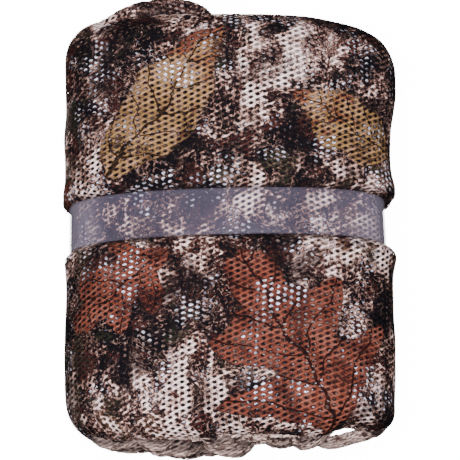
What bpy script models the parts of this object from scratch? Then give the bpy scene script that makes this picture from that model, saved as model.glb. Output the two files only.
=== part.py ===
"""Camouflage net, folded into a long strip, rolled up flat and held round its middle by a clear band.

The roll lies on its back, as it is stored: X runs across it, Y along its axis, and Z up from the surface
that it lies on. Its foot is the end at -Y and its head the end at +Y. Sizes are in metres. While the pieces
are made, y is measured from the band's middle; then the part is moved so that its origin is the middle of
its footprint.

net_roll  one solid: the outer wrap with its waist, loose end and soft folds, and at both ends the spiral of
          folded edges, with the slack folds and the loop at the foot and the raised fold at the head
band      one solid: the clear plastic band that sits in the roll's waist
"""

import math

import bmesh
import bpy
from mathutils import Vector, noise

# The roll's section is a superellipse about a centre at MID_HEIGHT, pressed flat where it lies. The table gives
# how far it reaches to the left, to the right and up at places along the roll, as if it had no waist.
MID_HEIGHT = 0.0450
UNDER_REACH = 0.0480  # 3 mm more than MID_HEIGHT, so the underside lies flat over about half the width
UPPER_FULLNESS = 2.35
LOWER_FULLNESS = 2.9
SECTIONS = (
    # y       left    right   top
    (-0.140, 0.0970, 0.0968, 0.0420),
    (-0.095, 0.0984, 0.0976, 0.0438),
    (-0.055, 0.0980, 0.0970, 0.0446),
    (-0.022, 0.0974, 0.0966, 0.0442),
    (0.022, 0.0974, 0.0952, 0.0436),
    (0.052, 0.0968, 0.0944, 0.0438),
    (0.087, 0.0962, 0.0978, 0.0432),
    (0.128, 0.0960, 0.0976, 0.0412),
)
GIRTH_AT = 0.055  # the section there is taken as the roll's usual one

# The two ends. The wrap turns over SETBACK short of each, and the turns inside it stand out as far as the end.
FOOT_Y = -0.1365
HEAD_Y = 0.1262
FOOT_CORNERS = {"left": 0.028, "right": 0.016, "top": 0.009, "under": 0.018}
HEAD_CORNERS = {"left": 0.024, "right": 0.030, "top": 0.018, "under": 0.020}
CORNER_REACH = 0.040
CORNER_STEPS = 6
SETBACK = 0.0035

# The band, and the waist that it pulls into the roll. It sits a little skew: further along on the right.
BAND_WIDTH = 0.0285
BAND_THICKNESS = 0.0010
BAND_SKEW = 0.026
SKEW_REACH = 0.080
SEAT_GAP = 0.0003
WAIST_DEPTH = {"left": 0.0028, "right": 0.0046, "top": 0.0036, "under": 0.0020}
WAIST_FADE = 0.0034
WAIST_FLAT = BAND_WIDTH / 2 + 0.0004
WAIST_LIFT = SEAT_GAP + BAND_THICKNESS + 0.0006  # so that the band clears the surface below it

# The wrap's loose end lies low on the right side, and the step there fades round the whole turn.
LOOSE_END_DEG = -20.0
LOOSE_END_STEP = 0.0022
LOOSE_END_SLOT = 0.0006  # the step's two sides lie this far apart round the section

# Mesh steps: round the section, and along the roll as distances beyond the waist's flat seat.
AROUND = 76
BEYOND_SEAT = (0.0, 0.0018, 0.0042, 0.0085, 0.016, 0.027, 0.042, 0.060)

# The end spiral winds in by TURN at each turn. Each turn is a lip of folded edges: its share of the turn, and
# how far it stands out there.
TURN = 0.0084
TURNS = 4
LIP_PROFILE = ((0.0, -0.0034), (0.30, 0.0016), (0.74, 0.0016))
LIP_WANDER = 0.0013
RUFFLE = 0.0030
RUFFLE_LENGTH = 0.020
LOWEST_LIP = 0.004
DOME_TURNS = 1.5  # turns from the wrap's edge to where the end stands out in full

# Slack folds that stand out of the foot, and the notch between two of them (a negative height).
FOOT_FOLDS = (
    # x      z      spread_x spread_z height
    (-0.062, 0.056, 0.017, 0.020, 0.0024),
    (-0.029, 0.054, 0.019, 0.020, 0.0064),
    (0.001, 0.056, 0.011, 0.018, 0.0046),
    (0.017, 0.058, 0.004, 0.018, -0.0040),
    (0.036, 0.058, 0.014, 0.017, 0.0008),
)

# The foot leans in below its folds. It is shorter on the right, and drawn in further below the loop. The head
# is a little shorter on the right too.
LEAN = 0.24
LEAN_BELOW = 0.056
FOOT_TRIM = 0.0055
FOOT_TRIM_FROM = 0.040
FOOT_TRIM_TO = 0.070
HEAD_TRIM = 0.0034
HEAD_TRIM_FROM = 0.036
HEAD_TRIM_TO = 0.072
DRAWN_IN = 0.015
DRAWN_IN_TOP = 0.080
DRAWN_IN_BETWEEN = (0.060, 0.082)
DRAWN_IN_BLEND = 0.010
SHIFT_REACH = 0.060

# The fold that stands up out of the head, left of the middle: it rises gently and ends in a sharp corner.
HEAD_FOLD_LEFT = -0.088
HEAD_FOLD_CREST = -0.046
HEAD_FOLD_FALL = -0.026
HEAD_FOLD_CORNER = -0.0115
HEAD_FOLD_HEIGHT = 0.0096
HEAD_FOLD_DROP = 0.0055
HEAD_FOLD_LOW = 0.050
HEAD_FOLD_BLEND = 0.012

# One fold at the foot hangs clear as a loop: points of its middle line, from the left root to the right one.
LOOP_THICKNESS = 0.0032
LOOP_Z = (0.035, 0.051)
LOOP_EDGE = 0.002
LOOP_POINTS = ((0.046, -0.1170), (0.049, -0.1280), (0.059, -0.1335), (0.071, -0.1318), (0.082, -0.1280),
               (0.090, -0.1225), (0.091, -0.1110))
LOOP_ROOTS = ((0.050, 0.008), (0.090, 0.006))  # the foot's lips are level round each root: its x, and how far
LOOP_STEPS = 4

# Soft folds in the wrap's upper face (a negative height is a trough).
FACE_FOLDS = (
    # x0     y0     x1     y1     spread height
    (-0.075, 0.030, -0.052, 0.104, 0.013, 0.0014),
    (0.008, 0.039, 0.045, 0.038, 0.006, -0.0013),
    (0.012, 0.023, 0.040, 0.022, 0.005, -0.0011),
    (-0.020, 0.078, 0.020, 0.092, 0.014, -0.0012),
    (0.066, 0.040, 0.084, 0.090, 0.013, -0.0012),
    (-0.084, -0.040, -0.030, -0.062, 0.015, 0.0014),
    (-0.020, -0.036, 0.018, -0.104, 0.014, -0.0014),
    (0.040, -0.030, 0.066, -0.100, 0.015, 0.0014),
)
FOLD_FADE = 0.012
FACE_BLEND = 0.027  # height above the section's centre at which the face's folds stand in full

# Puckers that run away from the band's edges, all round.
PUCKER_HEIGHT = 0.0022
PUCKER_LENGTH = 0.017
PUCKER_FADE = 0.020

# Steps through the noise field, which keep the turns, the two ends and the two sides of the band unlike.
UNLIKE_TURNS = 3.7
UNLIKE_ENDS = 9.0
UNLIKE_WANDER = Vector((0.0, 0.0, 5.0))
UNLIKE_SIDES = 4.0


def smooth(value):
    """Eases 0..1 with a level start and end, and holds outside that range."""
    held = min(1.0, max(0.0, value))
    return held * held * (3.0 - 2.0 * held)


def bell(value):
    """A hump of height 1 at 0 that has died away by about 2."""
    return math.exp(-value * value)


def corner_inset(distance, radius):
    """How far a rounded corner lies inside the flat side, at a distance from the end."""
    if distance >= radius:
        return 0.0
    across = 1.0 - distance / radius
    return radius * (1.0 - math.sqrt(max(0.0, 1.0 - across * across)))


def beyond_band(y):
    """Distance from the waist's flat seat, 0 within it."""
    return max(0.0, abs(y) - WAIST_FLAT)


def waist(y):
    """The share of the full waist at y: 1 under the band, dying away outside its edges."""
    return bell(beyond_band(y) / WAIST_FADE)


def full_reach(side, y):
    """The sections table read at y, with no waist and no rounded ends."""
    if side == "under":
        return UNDER_REACH
    column = ("left", "right", "top").index(side) + 1
    if y <= SECTIONS[0][0]:
        return SECTIONS[0][column]
    for before, after in zip(SECTIONS, SECTIONS[1:]):
        if y <= after[0]:
            share = smooth((y - before[0]) / (after[0] - before[0]))
            return before[column] + share * (after[column] - before[column])
    return SECTIONS[-1][column]


def reach(side, y):
    """How far the wrap reaches from the section's centre to one side at y."""
    inset = corner_inset(y - FOOT_Y, FOOT_CORNERS[side]) + corner_inset(HEAD_Y - y, HEAD_CORNERS[side])
    return full_reach(side, y) - inset - WAIST_DEPTH[side] * waist(y)


def section_point(angle, y, depth=0.0):
    """A point of the section at y, as (x, z), with the whole outline moved inwards by depth."""
    cos, sin = math.cos(angle), math.sin(angle)
    across = reach("right" if cos >= 0 else "left", y) - depth
    upright = reach("top" if sin >= 0 else "under", y) - depth
    power = 2.0 / (UPPER_FULLNESS if sin >= 0 else LOWER_FULLNESS)
    x = math.copysign(abs(cos) ** power, cos) * max(across, TURN / 4)
    z = math.copysign(abs(sin) ** power, sin) * max(upright, TURN / 8)
    return x, MID_HEIGHT + z


def around_angles():
    """Angles with equal steps along the section, from just above the loose end round to just below it."""
    start = math.radians(LOOSE_END_DEG)
    steps = 2000
    fine = [start + 2.0 * math.pi * i / steps for i in range(steps + 1)]
    points = [Vector(section_point(angle, GIRTH_AT)) for angle in fine]
    run = [0.0]
    for before, after in zip(points, points[1:]):
        run.append(run[-1] + (after - before).length)
    covered = run[-1] - LOOSE_END_SLOT
    angles, place = [], 0
    for i in range(AROUND):
        distance = LOOSE_END_SLOT / 2.0 + covered * i / (AROUND - 1)
        while run[place + 1] < distance:
            place += 1
        share = (distance - run[place]) / (run[place + 1] - run[place])
        angles.append(fine[place] + share * (fine[place + 1] - fine[place]))
    return angles, run[-1]


ANGLES, GIRTH = around_angles()


def line_distance(point, start, end):
    """Distance in plan from a point to the line between start and end."""
    along = end - start
    share = min(1.0, max(0.0, (point - start).dot(along) / along.length_squared))
    return (point - start - share * along).length


def face_fold(x, y):
    """Height of the soft folds of the upper face at a place in plan."""
    place = Vector((x, y))
    return sum(
        height * bell(line_distance(place, Vector((x0, y0)), Vector((x1, y1))) / spread)
        for x0, y0, x1, y1, spread, height in FACE_FOLDS
    )


def pucker(index, y):
    """Height of the gathers that run away from the band, at a step round the section."""
    side = 0.0 if y < 0.0 else UNLIKE_SIDES
    wave = noise.noise(Vector((index / AROUND * GIRTH / PUCKER_LENGTH, side, 0.0)))
    return PUCKER_HEIGHT * wave * bell(beyond_band(y) / PUCKER_FADE) * (1.0 - waist(y))


def settle(point):
    """Moves a finished point to its place: the band's skew, and the two ends' lean, trim and drawn-in part."""
    x, y, z = point
    skew = BAND_SKEW * x * smooth(1.0 - abs(y) / SKEW_REACH)
    trim = FOOT_TRIM * smooth((x - FOOT_TRIM_FROM) / (FOOT_TRIM_TO - FOOT_TRIM_FROM))
    left, right = DRAWN_IN_BETWEEN
    window = smooth((x - left) / DRAWN_IN_BLEND + 0.5) * smooth((right - x) / DRAWN_IN_BLEND + 0.5)
    drawn = DRAWN_IN * window * max(0.0, 1.0 - z / DRAWN_IN_TOP)
    lean = LEAN * max(0.0, LEAN_BELOW - z)
    near_foot = smooth(1.0 - (y - FOOT_Y) / SHIFT_REACH)
    head_trim = HEAD_TRIM * smooth((x - HEAD_TRIM_FROM) / (HEAD_TRIM_TO - HEAD_TRIM_FROM))
    near_head = smooth(1.0 - (HEAD_Y - y) / SHIFT_REACH)
    return Vector((x, y + skew + (trim + drawn + lean) * near_foot - head_trim * near_head, z))


def wrap_point(index, y):
    """A point of the wrap's outer face, with its step, folds and gathers, pressed flat underneath."""
    x, z = section_point(ANGLES[index], y)
    outward = Vector((x / full_reach("right", y), (z - MID_HEIGHT) / MID_HEIGHT)).normalized()
    free = 1.0 - waist(y)
    ends = smooth((y - FOOT_Y) / FOLD_FADE) * smooth((HEAD_Y - y) / FOLD_FADE)
    step = LOOSE_END_STEP * (1.0 - index / (AROUND - 1)) * free * ends
    upper = smooth((z - MID_HEIGHT) / FACE_BLEND)
    out = step + upper * face_fold(x, y) * ends * free + pucker(index, y) * ends
    lowest = WAIST_LIFT * waist(y)
    return Vector((x + outward.x * out, y, max(lowest, z + outward.y * out)))


def foot_relief(x, z):
    """How far the slack folds stand out of the foot at a place on it."""
    return sum(h * bell((x - x0) / wide) * bell((z - z0) / high) for x0, z0, wide, high, h in FOOT_FOLDS)


def lip_strength(x, facing):
    """The share of the lips that stands at x: they are level where the foot's loop springs from them."""
    if facing > 0:
        return 1.0
    return math.prod(1.0 - bell((x - root) / spread) for root, spread in LOOP_ROOTS)


def head_relief(x, z):
    """How far the raised fold stands out of the head at a place on it."""
    rise = smooth((x - HEAD_FOLD_LEFT) / (HEAD_FOLD_CREST - HEAD_FOLD_LEFT))
    fall = HEAD_FOLD_DROP * smooth((x - HEAD_FOLD_FALL) / (HEAD_FOLD_CORNER - HEAD_FOLD_FALL))
    here = 1.0 if x <= HEAD_FOLD_CORNER else 0.0
    upper = smooth((z - HEAD_FOLD_LOW) / HEAD_FOLD_BLEND)
    return (HEAD_FOLD_HEIGHT * rise - fall) * here * upper


def end_point(turn, share, height, index, end_y, facing):
    """A point of an end's spiral. The turns wind in with the angle, and stand out in lips."""
    angle = ANGLES[index]
    turns_in = turn + share + index / AROUND
    seed = Vector((index / AROUND * GIRTH / RUFFLE_LENGTH, turn * UNLIKE_TURNS, facing * UNLIKE_ENDS))
    wander = LIP_WANDER * noise.noise(seed + UNLIKE_WANDER) * min(1.0, turns_in)
    edge_y = end_y - facing * SETBACK
    x, z = section_point(angle, edge_y, depth=turns_in * TURN + wander)
    lip = (height + (RUFFLE * noise.noise(seed) if height > 0.0 else 0.0)) * lip_strength(x, facing)
    dome = SETBACK * smooth(turns_in / DOME_TURNS)
    relief = foot_relief(x, z) if facing < 0 else head_relief(x, z)
    return Vector((x, edge_y + facing * (lip + dome + relief), max(z, LOWEST_LIP)))


def spiral_end(mesh, rim, end_y, facing):
    """Closes one end of the roll with a spiral of lips that starts at the loose end and winds inwards."""
    steps, last = len(LIP_PROFILE), AROUND - 1
    places = [(turn, share, height) for turn in range(TURNS) for share, height in LIP_PROFILE]
    places.append((TURNS, *LIP_PROFILE[0]))
    rings = [
        [mesh.verts.new(settle(end_point(*place, i, end_y, facing))) for i in range(AROUND)]
        for place in places
    ]
    faces = [(rim[i], rim[i + 1], rings[0][i + 1], rings[0][i]) for i in range(last)]
    loose_edge = [rings[ring][0] for ring in range(steps + 1)]
    faces.append((rim[last], rim[0], *loose_edge, rings[0][last]))
    for ring, (outer, inner) in enumerate(zip(rings, rings[1:])):
        faces += [(outer[i], outer[i + 1], inner[i + 1], inner[i]) for i in range(last)]
        onward = ring + steps
        if onward + 1 < len(rings):
            faces.append((outer[last], rings[onward][0], rings[onward + 1][0], inner[last]))
    innermost = len(rings) - 1
    faces.append((*rings[innermost], *(rings[innermost - back][last] for back in range(1, steps + 1))))
    for face in faces:
        mesh.faces.new(face if facing > 0 else tuple(reversed(face)))


def corner_stations(end_y, facing):
    """Places along the roll that follow the rounded corner at one end, from the wrap's edge inwards."""
    edge = math.acos(1.0 - SETBACK / CORNER_REACH)
    arc = [edge + (math.pi / 2.0 - edge) * step / CORNER_STEPS for step in range(CORNER_STEPS + 1)]
    return [end_y - facing * CORNER_REACH * (1.0 - math.cos(angle)) for angle in arc]


def roll_mesh():
    """The whole roll as one closed mesh."""
    mesh = bmesh.new()
    from_seat = [WAIST_FLAT + distance for distance in BEYOND_SEAT]
    middle = [*(-y for y in reversed(from_seat)), *from_seat]
    stations = [*corner_stations(FOOT_Y, -1), *middle, *reversed(corner_stations(HEAD_Y, 1))]
    sections = [[mesh.verts.new(settle(wrap_point(i, y))) for i in range(AROUND)] for y in stations]
    for here, onward in zip(sections, sections[1:]):
        for i in range(AROUND):
            after = (i + 1) % AROUND
            mesh.faces.new((here[after], here[i], onward[i], onward[after]))
    spiral_end(mesh, sections[0], FOOT_Y, -1)
    spiral_end(mesh, sections[-1], HEAD_Y, 1)
    bmesh.ops.recalc_face_normals(mesh, faces=mesh.faces)
    return mesh


def curve_through(points, steps):
    """Points on a smooth curve that passes through every given point."""
    ends = [2 * points[0] - points[1], *points, 2 * points[-1] - points[-2]]
    line = []
    for before, start, end, after in zip(ends, ends[1:], ends[2:], ends[3:]):
        for step in range(steps):
            t = step / steps
            linear = (end - before) * t
            square = (2 * before - 5 * start + 4 * end - after) * t ** 2
            cube = (3 * start - before - 3 * end + after) * t ** 3
            line.append(0.5 * (2 * start + linear + square + cube))
    return [*line, points[-1]]


def bridge_rings(mesh, rings):
    """Joins each closed ring of points to the next one."""
    for here, onward in zip(rings, rings[1:]):
        for i in range(len(here)):
            after = (i + 1) % len(here)
            mesh.faces.new((here[i], here[after], onward[after], onward[i]))


def loop_mesh():
    """The slack fold that hangs clear of the foot as a loop, its two roots inside the roll."""
    mesh = bmesh.new()
    line = curve_through([Vector(point) for point in LOOP_POINTS], LOOP_STEPS)
    low, high = LOOP_Z
    rings = []
    for i, point in enumerate(line):
        along = (line[min(i + 1, len(line) - 1)] - line[max(i - 1, 0)]).normalized()
        half = Vector((-along.y, along.x)) * LOOP_THICKNESS / 2.0
        inner, outer = point + half, point - half
        section = ((inner, low), (outer, low + LOOP_EDGE), (outer, high - LOOP_EDGE), (inner, high))
        rings.append([mesh.verts.new((side.x, side.y, z)) for side, z in section])
    bridge_rings(mesh, rings)
    mesh.faces.new(rings[0])
    mesh.faces.new(rings[-1])
    bmesh.ops.recalc_face_normals(mesh, faces=mesh.faces)
    return mesh


def band_edge(y):
    """The band's inner and outer line at one of its edges, standing off the waist below it."""
    seat = [wrap_point(i, y) for i in range(AROUND)]
    inner, outer = [], []
    for i, point in enumerate(seat):
        along = seat[(i + 1) % AROUND] - seat[i - 1]
        outward = Vector((along.z, 0.0, -along.x)).normalized()
        inner.append(settle(point + outward * SEAT_GAP))
        outer.append(settle(point + outward * (SEAT_GAP + BAND_THICKNESS)))
    return inner, outer


def band_mesh():
    """The band: the waist's section moved out by its seat gap and its own thickness."""
    mesh = bmesh.new()
    foot_inner, foot_outer = band_edge(-BAND_WIDTH / 2.0)
    head_inner, head_outer = band_edge(BAND_WIDTH / 2.0)
    rings = [
        [mesh.verts.new(point) for point in line]
        for line in (foot_inner, foot_outer, head_outer, head_inner)
    ]
    bridge_rings(mesh, [*rings, rings[0]])
    bmesh.ops.recalc_face_normals(mesh, faces=mesh.faces)
    return mesh


def material(name, colour, roughness, transmission=0.0):
    """A plain finish with one colour."""
    made = bpy.data.materials.new(name)
    made.use_nodes = True
    shader = made.node_tree.nodes["Principled BSDF"]
    shader.inputs["Base Color"].default_value = (*colour, 1.0)
    shader.inputs["Roughness"].default_value = roughness
    shader.inputs["Metallic"].default_value = 0.0
    shader.inputs["Transmission Weight"].default_value = transmission
    return made


def add_object(name, mesh, finish, origin):
    """Adds a mesh to the scene as a named object with its material, moved so that origin becomes (0, 0, 0)."""
    data = bpy.data.meshes.new(name)
    bmesh.ops.translate(mesh, verts=mesh.verts, vec=-origin)
    mesh.to_mesh(data)
    mesh.free()
    data.materials.append(finish)
    made = bpy.data.objects.new(name, data)
    bpy.context.scene.collection.objects.link(made)
    return made


def footprint_middle(mesh):
    """The middle, in plan, of a mesh's box."""
    xs = [vertex.co.x for vertex in mesh.verts]
    ys = [vertex.co.y for vertex in mesh.verts]
    return Vector((min(xs) + max(xs), min(ys) + max(ys), 0.0)) / 2.0


def main():
    for old in list(bpy.data.objects):
        bpy.data.objects.remove(old)
    printed_net = material("printed_net", (0.20, 0.13, 0.10), 0.85)
    clear_plastic = material("clear_plastic", (0.55, 0.57, 0.66), 0.35, transmission=0.5)

    wrap = roll_mesh()
    origin = footprint_middle(wrap)
    roll = add_object("net_roll", wrap, printed_net, origin)
    loop = add_object("foot_loop", loop_mesh(), printed_net, origin)
    loop.hide_render = True
    loop.display_type = "WIRE"
    join = roll.modifiers.new("join_loop", "BOOLEAN")
    join.operation = "UNION"
    join.solver = "EXACT"
    join.object = loop
    add_object("band", band_mesh(), clear_plastic, origin)


main()
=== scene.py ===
"""Looks of a camouflage net that is folded, rolled up flat and held round its middle by a clear band.

The roll lies on its back: X runs across it, Y along its axis from foot to head, and Z up. Sizes are in metres.
The outer wrap, the layer just beneath it, the folded edges at both ends and the slack folds are all one kind of
knitted mesh cloth, so one Geometry Nodes tree perforates them all: it lays a staggered lattice of lens-shaped
holes over the flat cloth and carries it onto each folded form.
"""

from __future__ import annotations

import logging
import math
from dataclasses import dataclass, field
from enum import Enum

import bmesh
import bpy
import numpy as np
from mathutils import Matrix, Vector, noise


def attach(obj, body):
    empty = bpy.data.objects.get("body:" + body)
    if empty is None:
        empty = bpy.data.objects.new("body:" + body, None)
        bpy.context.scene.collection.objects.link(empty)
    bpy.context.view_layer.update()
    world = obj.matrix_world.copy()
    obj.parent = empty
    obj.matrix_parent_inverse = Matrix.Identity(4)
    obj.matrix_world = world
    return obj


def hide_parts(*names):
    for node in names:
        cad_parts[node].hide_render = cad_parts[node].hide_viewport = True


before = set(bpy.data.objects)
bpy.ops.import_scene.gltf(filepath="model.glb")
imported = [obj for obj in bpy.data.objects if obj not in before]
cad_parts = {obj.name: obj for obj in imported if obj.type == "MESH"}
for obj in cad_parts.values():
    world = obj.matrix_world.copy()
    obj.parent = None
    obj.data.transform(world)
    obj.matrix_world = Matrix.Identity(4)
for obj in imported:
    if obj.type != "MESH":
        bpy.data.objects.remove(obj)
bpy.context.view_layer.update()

LOG = logging.getLogger("camouflage_net")
SIDES = ("left", "right", "top", "under")


# ---------------------------------------------------------------------------------------------- small helpers


def eased(value: np.ndarray | float) -> np.ndarray:
    """Ease 0..1 with a level start and end.

    Args:
        value: Any numbers; those outside 0..1 are held.

    Returns:
        The eased numbers.
    """
    held = np.clip(value, 0.0, 1.0)
    return held * held * (3.0 - 2.0 * held)


def bell(value: np.ndarray | float) -> np.ndarray:
    """Return a hump of height 1 at 0 that has died away by about 2."""
    return np.exp(-np.square(value))


def ripple(x: np.ndarray, y: np.ndarray, length: float, seed: float) -> np.ndarray:
    """Read a smooth random field.

    Args:
        x: First coordinate, in metres.
        y: Second coordinate, in metres, of the same shape.
        length: Size of one ripple, in metres.
        seed: A number that picks another part of the field.

    Returns:
        Values from about -1 to 1, of the same shape.
    """
    x, y = np.broadcast_arrays(x, y)
    flat = [noise.noise(Vector((a / length, b / length, seed))) for a, b in zip(x.ravel(), y.ravel())]
    return np.array(flat).reshape(x.shape) * 1.6


def ink(red: float, green: float, blue: float) -> tuple[float, float, float, float]:
    """Return an opaque colour from the shares of red, green and blue light that it sends back."""
    return (red, green, blue, 1.0)


def deeper(colour: tuple, share: float) -> tuple[float, float, float, float]:
    """Return a colour made darker."""
    return ink(*(share * part for part in colour[:3]))


# ------------------------------------------------------------------------------------- nodes, written as maths


class Wire:
    """One output of a node tree. Operators on it add Math nodes."""

    def __init__(self, graph: "Graph", socket: bpy.types.NodeSocket) -> None:
        """Keep the socket and the tree that it belongs to."""
        self.graph = graph
        self.socket = socket

    def _maths(self, operation: str, *values: "Wire | float") -> "Wire":
        """Add one Math node on these values."""
        return self.graph.add("ShaderNodeMath", {"operation": operation}, dict(enumerate(values)))

    def __add__(self, other: "Wire | float") -> "Wire":
        """Add."""
        return self._maths("ADD", self, other)

    __radd__ = __add__

    def __sub__(self, other: "Wire | float") -> "Wire":
        """Subtract."""
        return self._maths("SUBTRACT", self, other)

    def __rsub__(self, other: float) -> "Wire":
        """Subtract from a number."""
        return self._maths("SUBTRACT", other, self)

    def __mul__(self, other: "Wire | float") -> "Wire":
        """Multiply."""
        return self._maths("MULTIPLY", self, other)

    __rmul__ = __mul__

    def __truediv__(self, other: "Wire | float") -> "Wire":
        """Divide."""
        return self._maths("DIVIDE", self, other)

    def __abs__(self) -> "Wire":
        """Drop the sign."""
        return self._maths("ABSOLUTE", self)

    def __mod__(self, other: float) -> "Wire":
        """Return the rest of a floored division."""
        return self._maths("FLOORED_MODULO", self, other)

    def floor(self) -> "Wire":
        """Round down."""
        return self._maths("FLOOR", self)

    def most(self, other: "Wire | float") -> "Wire":
        """Return the larger of two."""
        return self._maths("MAXIMUM", self, other)

    def cos(self) -> "Wire":
        """Return the cosine."""
        return self._maths("COSINE", self)

    def sin(self) -> "Wire":
        """Return the sine."""
        return self._maths("SINE", self)

    def rise(self, low: "Wire | float", high: "Wire | float") -> "Wire":
        """Return 0 below low, 1 above high, and ease between them.

        Args:
            low: Where the rise starts.
            high: Where it ends; it may be lower than low, for a fall.

        Returns:
            The share of the rise.
        """
        settings = {"interpolation_type": "SMOOTHSTEP"}
        return self.graph.add("ShaderNodeMapRange", settings, {"Value": self, "From Min": low, "From Max": high})


class Graph:
    """A node tree that is written as expressions."""

    def __init__(self, tree: bpy.types.NodeTree) -> None:
        """Keep the tree."""
        self.tree = tree

    def add(self, kind: str, settings: dict | None = None, values: dict | None = None, out: int | str = 0) -> Wire:
        """Add one node.

        Args:
            kind: The node's type.
            settings: Its properties, set first; "stops" sets a ramp's places and colours.
            values: Numbers, tuples or wires for its inputs, by name or place.
            out: The output to return.

        Returns:
            The chosen output.
        """
        node = self.tree.nodes.new(kind)
        for name, value in (settings or {}).items():
            if name == "stops":
                self._set_stops(node.color_ramp, value)
            else:
                setattr(node, name, value)
        for key, value in (values or {}).items():
            socket = node.inputs[key]
            if isinstance(value, Wire):
                self.tree.links.new(value.socket, socket)
            else:
                socket.default_value = value
        return Wire(self, node.outputs[out] if node.outputs else node.inputs[0])

    @staticmethod
    def _set_stops(ramp: bpy.types.ColorRamp, stops: tuple) -> None:
        """Give a colour ramp its stops, as (place, colour)."""
        while len(ramp.elements) < len(stops):
            ramp.elements.new(0.5)
        for element, (place, colour) in zip(ramp.elements, stops):
            element.position = place
            element.color = colour

    def out(self, wire: Wire, name: str) -> Wire:
        """Return another output of the node that a wire comes from."""
        return Wire(self, wire.socket.node.outputs[name])

    def mix(self, first: Wire | tuple, second: Wire | tuple, share: Wire | float) -> Wire:
        """Mix two colours by a share."""
        settings = {"data_type": "RGBA", "clamp_factor": True}
        return self.add("ShaderNodeMix", settings, {0: share, 6: first, 7: second}, out=2)

    def vector(self, operation: str, *values: Wire | tuple) -> Wire:
        """Do Vector Math on vectors."""
        return self.add("ShaderNodeVectorMath", {"operation": operation}, dict(enumerate(values)))

    def combine(self, x: Wire | float, y: Wire | float, z: Wire | float = 0.0) -> Wire:
        """Join three numbers to a vector."""
        return self.add("ShaderNodeCombineXYZ", None, {0: x, 1: y, 2: z})

    def split(self, vector: Wire) -> tuple[Wire, Wire, Wire]:
        """Take a vector's three numbers apart."""
        first = self.add("ShaderNodeSeparateXYZ", None, {0: vector})
        return first, self.out(first, "Y"), self.out(first, "Z")

    def cloud(self, place: Wire, size: float, detail: float = 3.0, rough: float = 0.55, warp: float = 0.0) -> Wire:
        """Read a noise texture, 0 to 1, whose features are about `size` metres across."""
        values = {"Vector": place, "Scale": 1.0 / size, "Detail": detail, "Roughness": rough, "Distortion": warp}
        return self.add("ShaderNodeTexNoise", {"noise_dimensions": "3D"}, values)


# --------------------------------------------------------------------------------------------- form of the roll


@dataclass(frozen=True)
class EndShape:
    """One end of the roll: where it is, how round its corners are, and how the outer wrap turns in there."""

    y: float
    facing: int
    corner: dict[str, float]
    run_on: dict[str, float]  # how far the wrap runs on round the corner, past where it leaves the roll's side
    edge_radius: float = 0.0021
    tuck: float = 0.0070
    setback: float = 0.0035

    def leaving_angle(self, side: str) -> float:
        """Return the slope of the corner where the wrap leaves the roll's side."""
        return math.asin(1.0 - self.setback / self.corner[side])

    def last_angle(self, side: str) -> float:
        """Return the slope of the corner where the wrap starts to turn in."""
        return min(math.radians(89.0), self.leaving_angle(side) + self.run_on[side] / self.corner[side])


@dataclass(frozen=True)
class Patch:
    """A piece of folded cloth: its points, the flat cloth's own coordinates, the way out of it and its painted shade.
    """

    points: np.ndarray
    flat: np.ndarray
    lift: np.ndarray
    painted_shade: np.ndarray


def make_patch(points: np.ndarray, flat: np.ndarray, outward: int = 1, painted_shade: np.ndarray | float = 0.0) -> Patch:
    """Make a patch from a grid of points.

    Args:
        points: Rows by columns by 3.
        flat: Rows by columns by 2, the flat cloth's coordinates.
        outward: 1 if columns cross rows points outwards, else -1.
        painted_shade: 0 on open cloth to 1 deep in a crease, the share of painted shade that darkens the cloth.

    Returns:
        The patch, with its way out found from the grid.
    """
    along = np.gradient(points, axis=0)
    across = np.gradient(points, axis=1)
    lift = np.cross(across, along) * outward
    lift /= np.maximum(np.linalg.norm(lift, axis=2, keepdims=True), 1e-12)
    return Patch(points, flat, lift, np.clip(np.broadcast_to(painted_shade, points.shape[:2]), 0.0, 1.0))


def measured(points: np.ndarray, axis: int) -> np.ndarray:
    """Return the running length along one axis of a grid of points."""
    steps = np.linalg.norm(np.diff(points, axis=axis), axis=2)
    pad = [(0, 0), (0, 0)]
    pad[axis] = (1, 0)
    return np.cumsum(np.pad(steps, pad), axis=axis)


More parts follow.
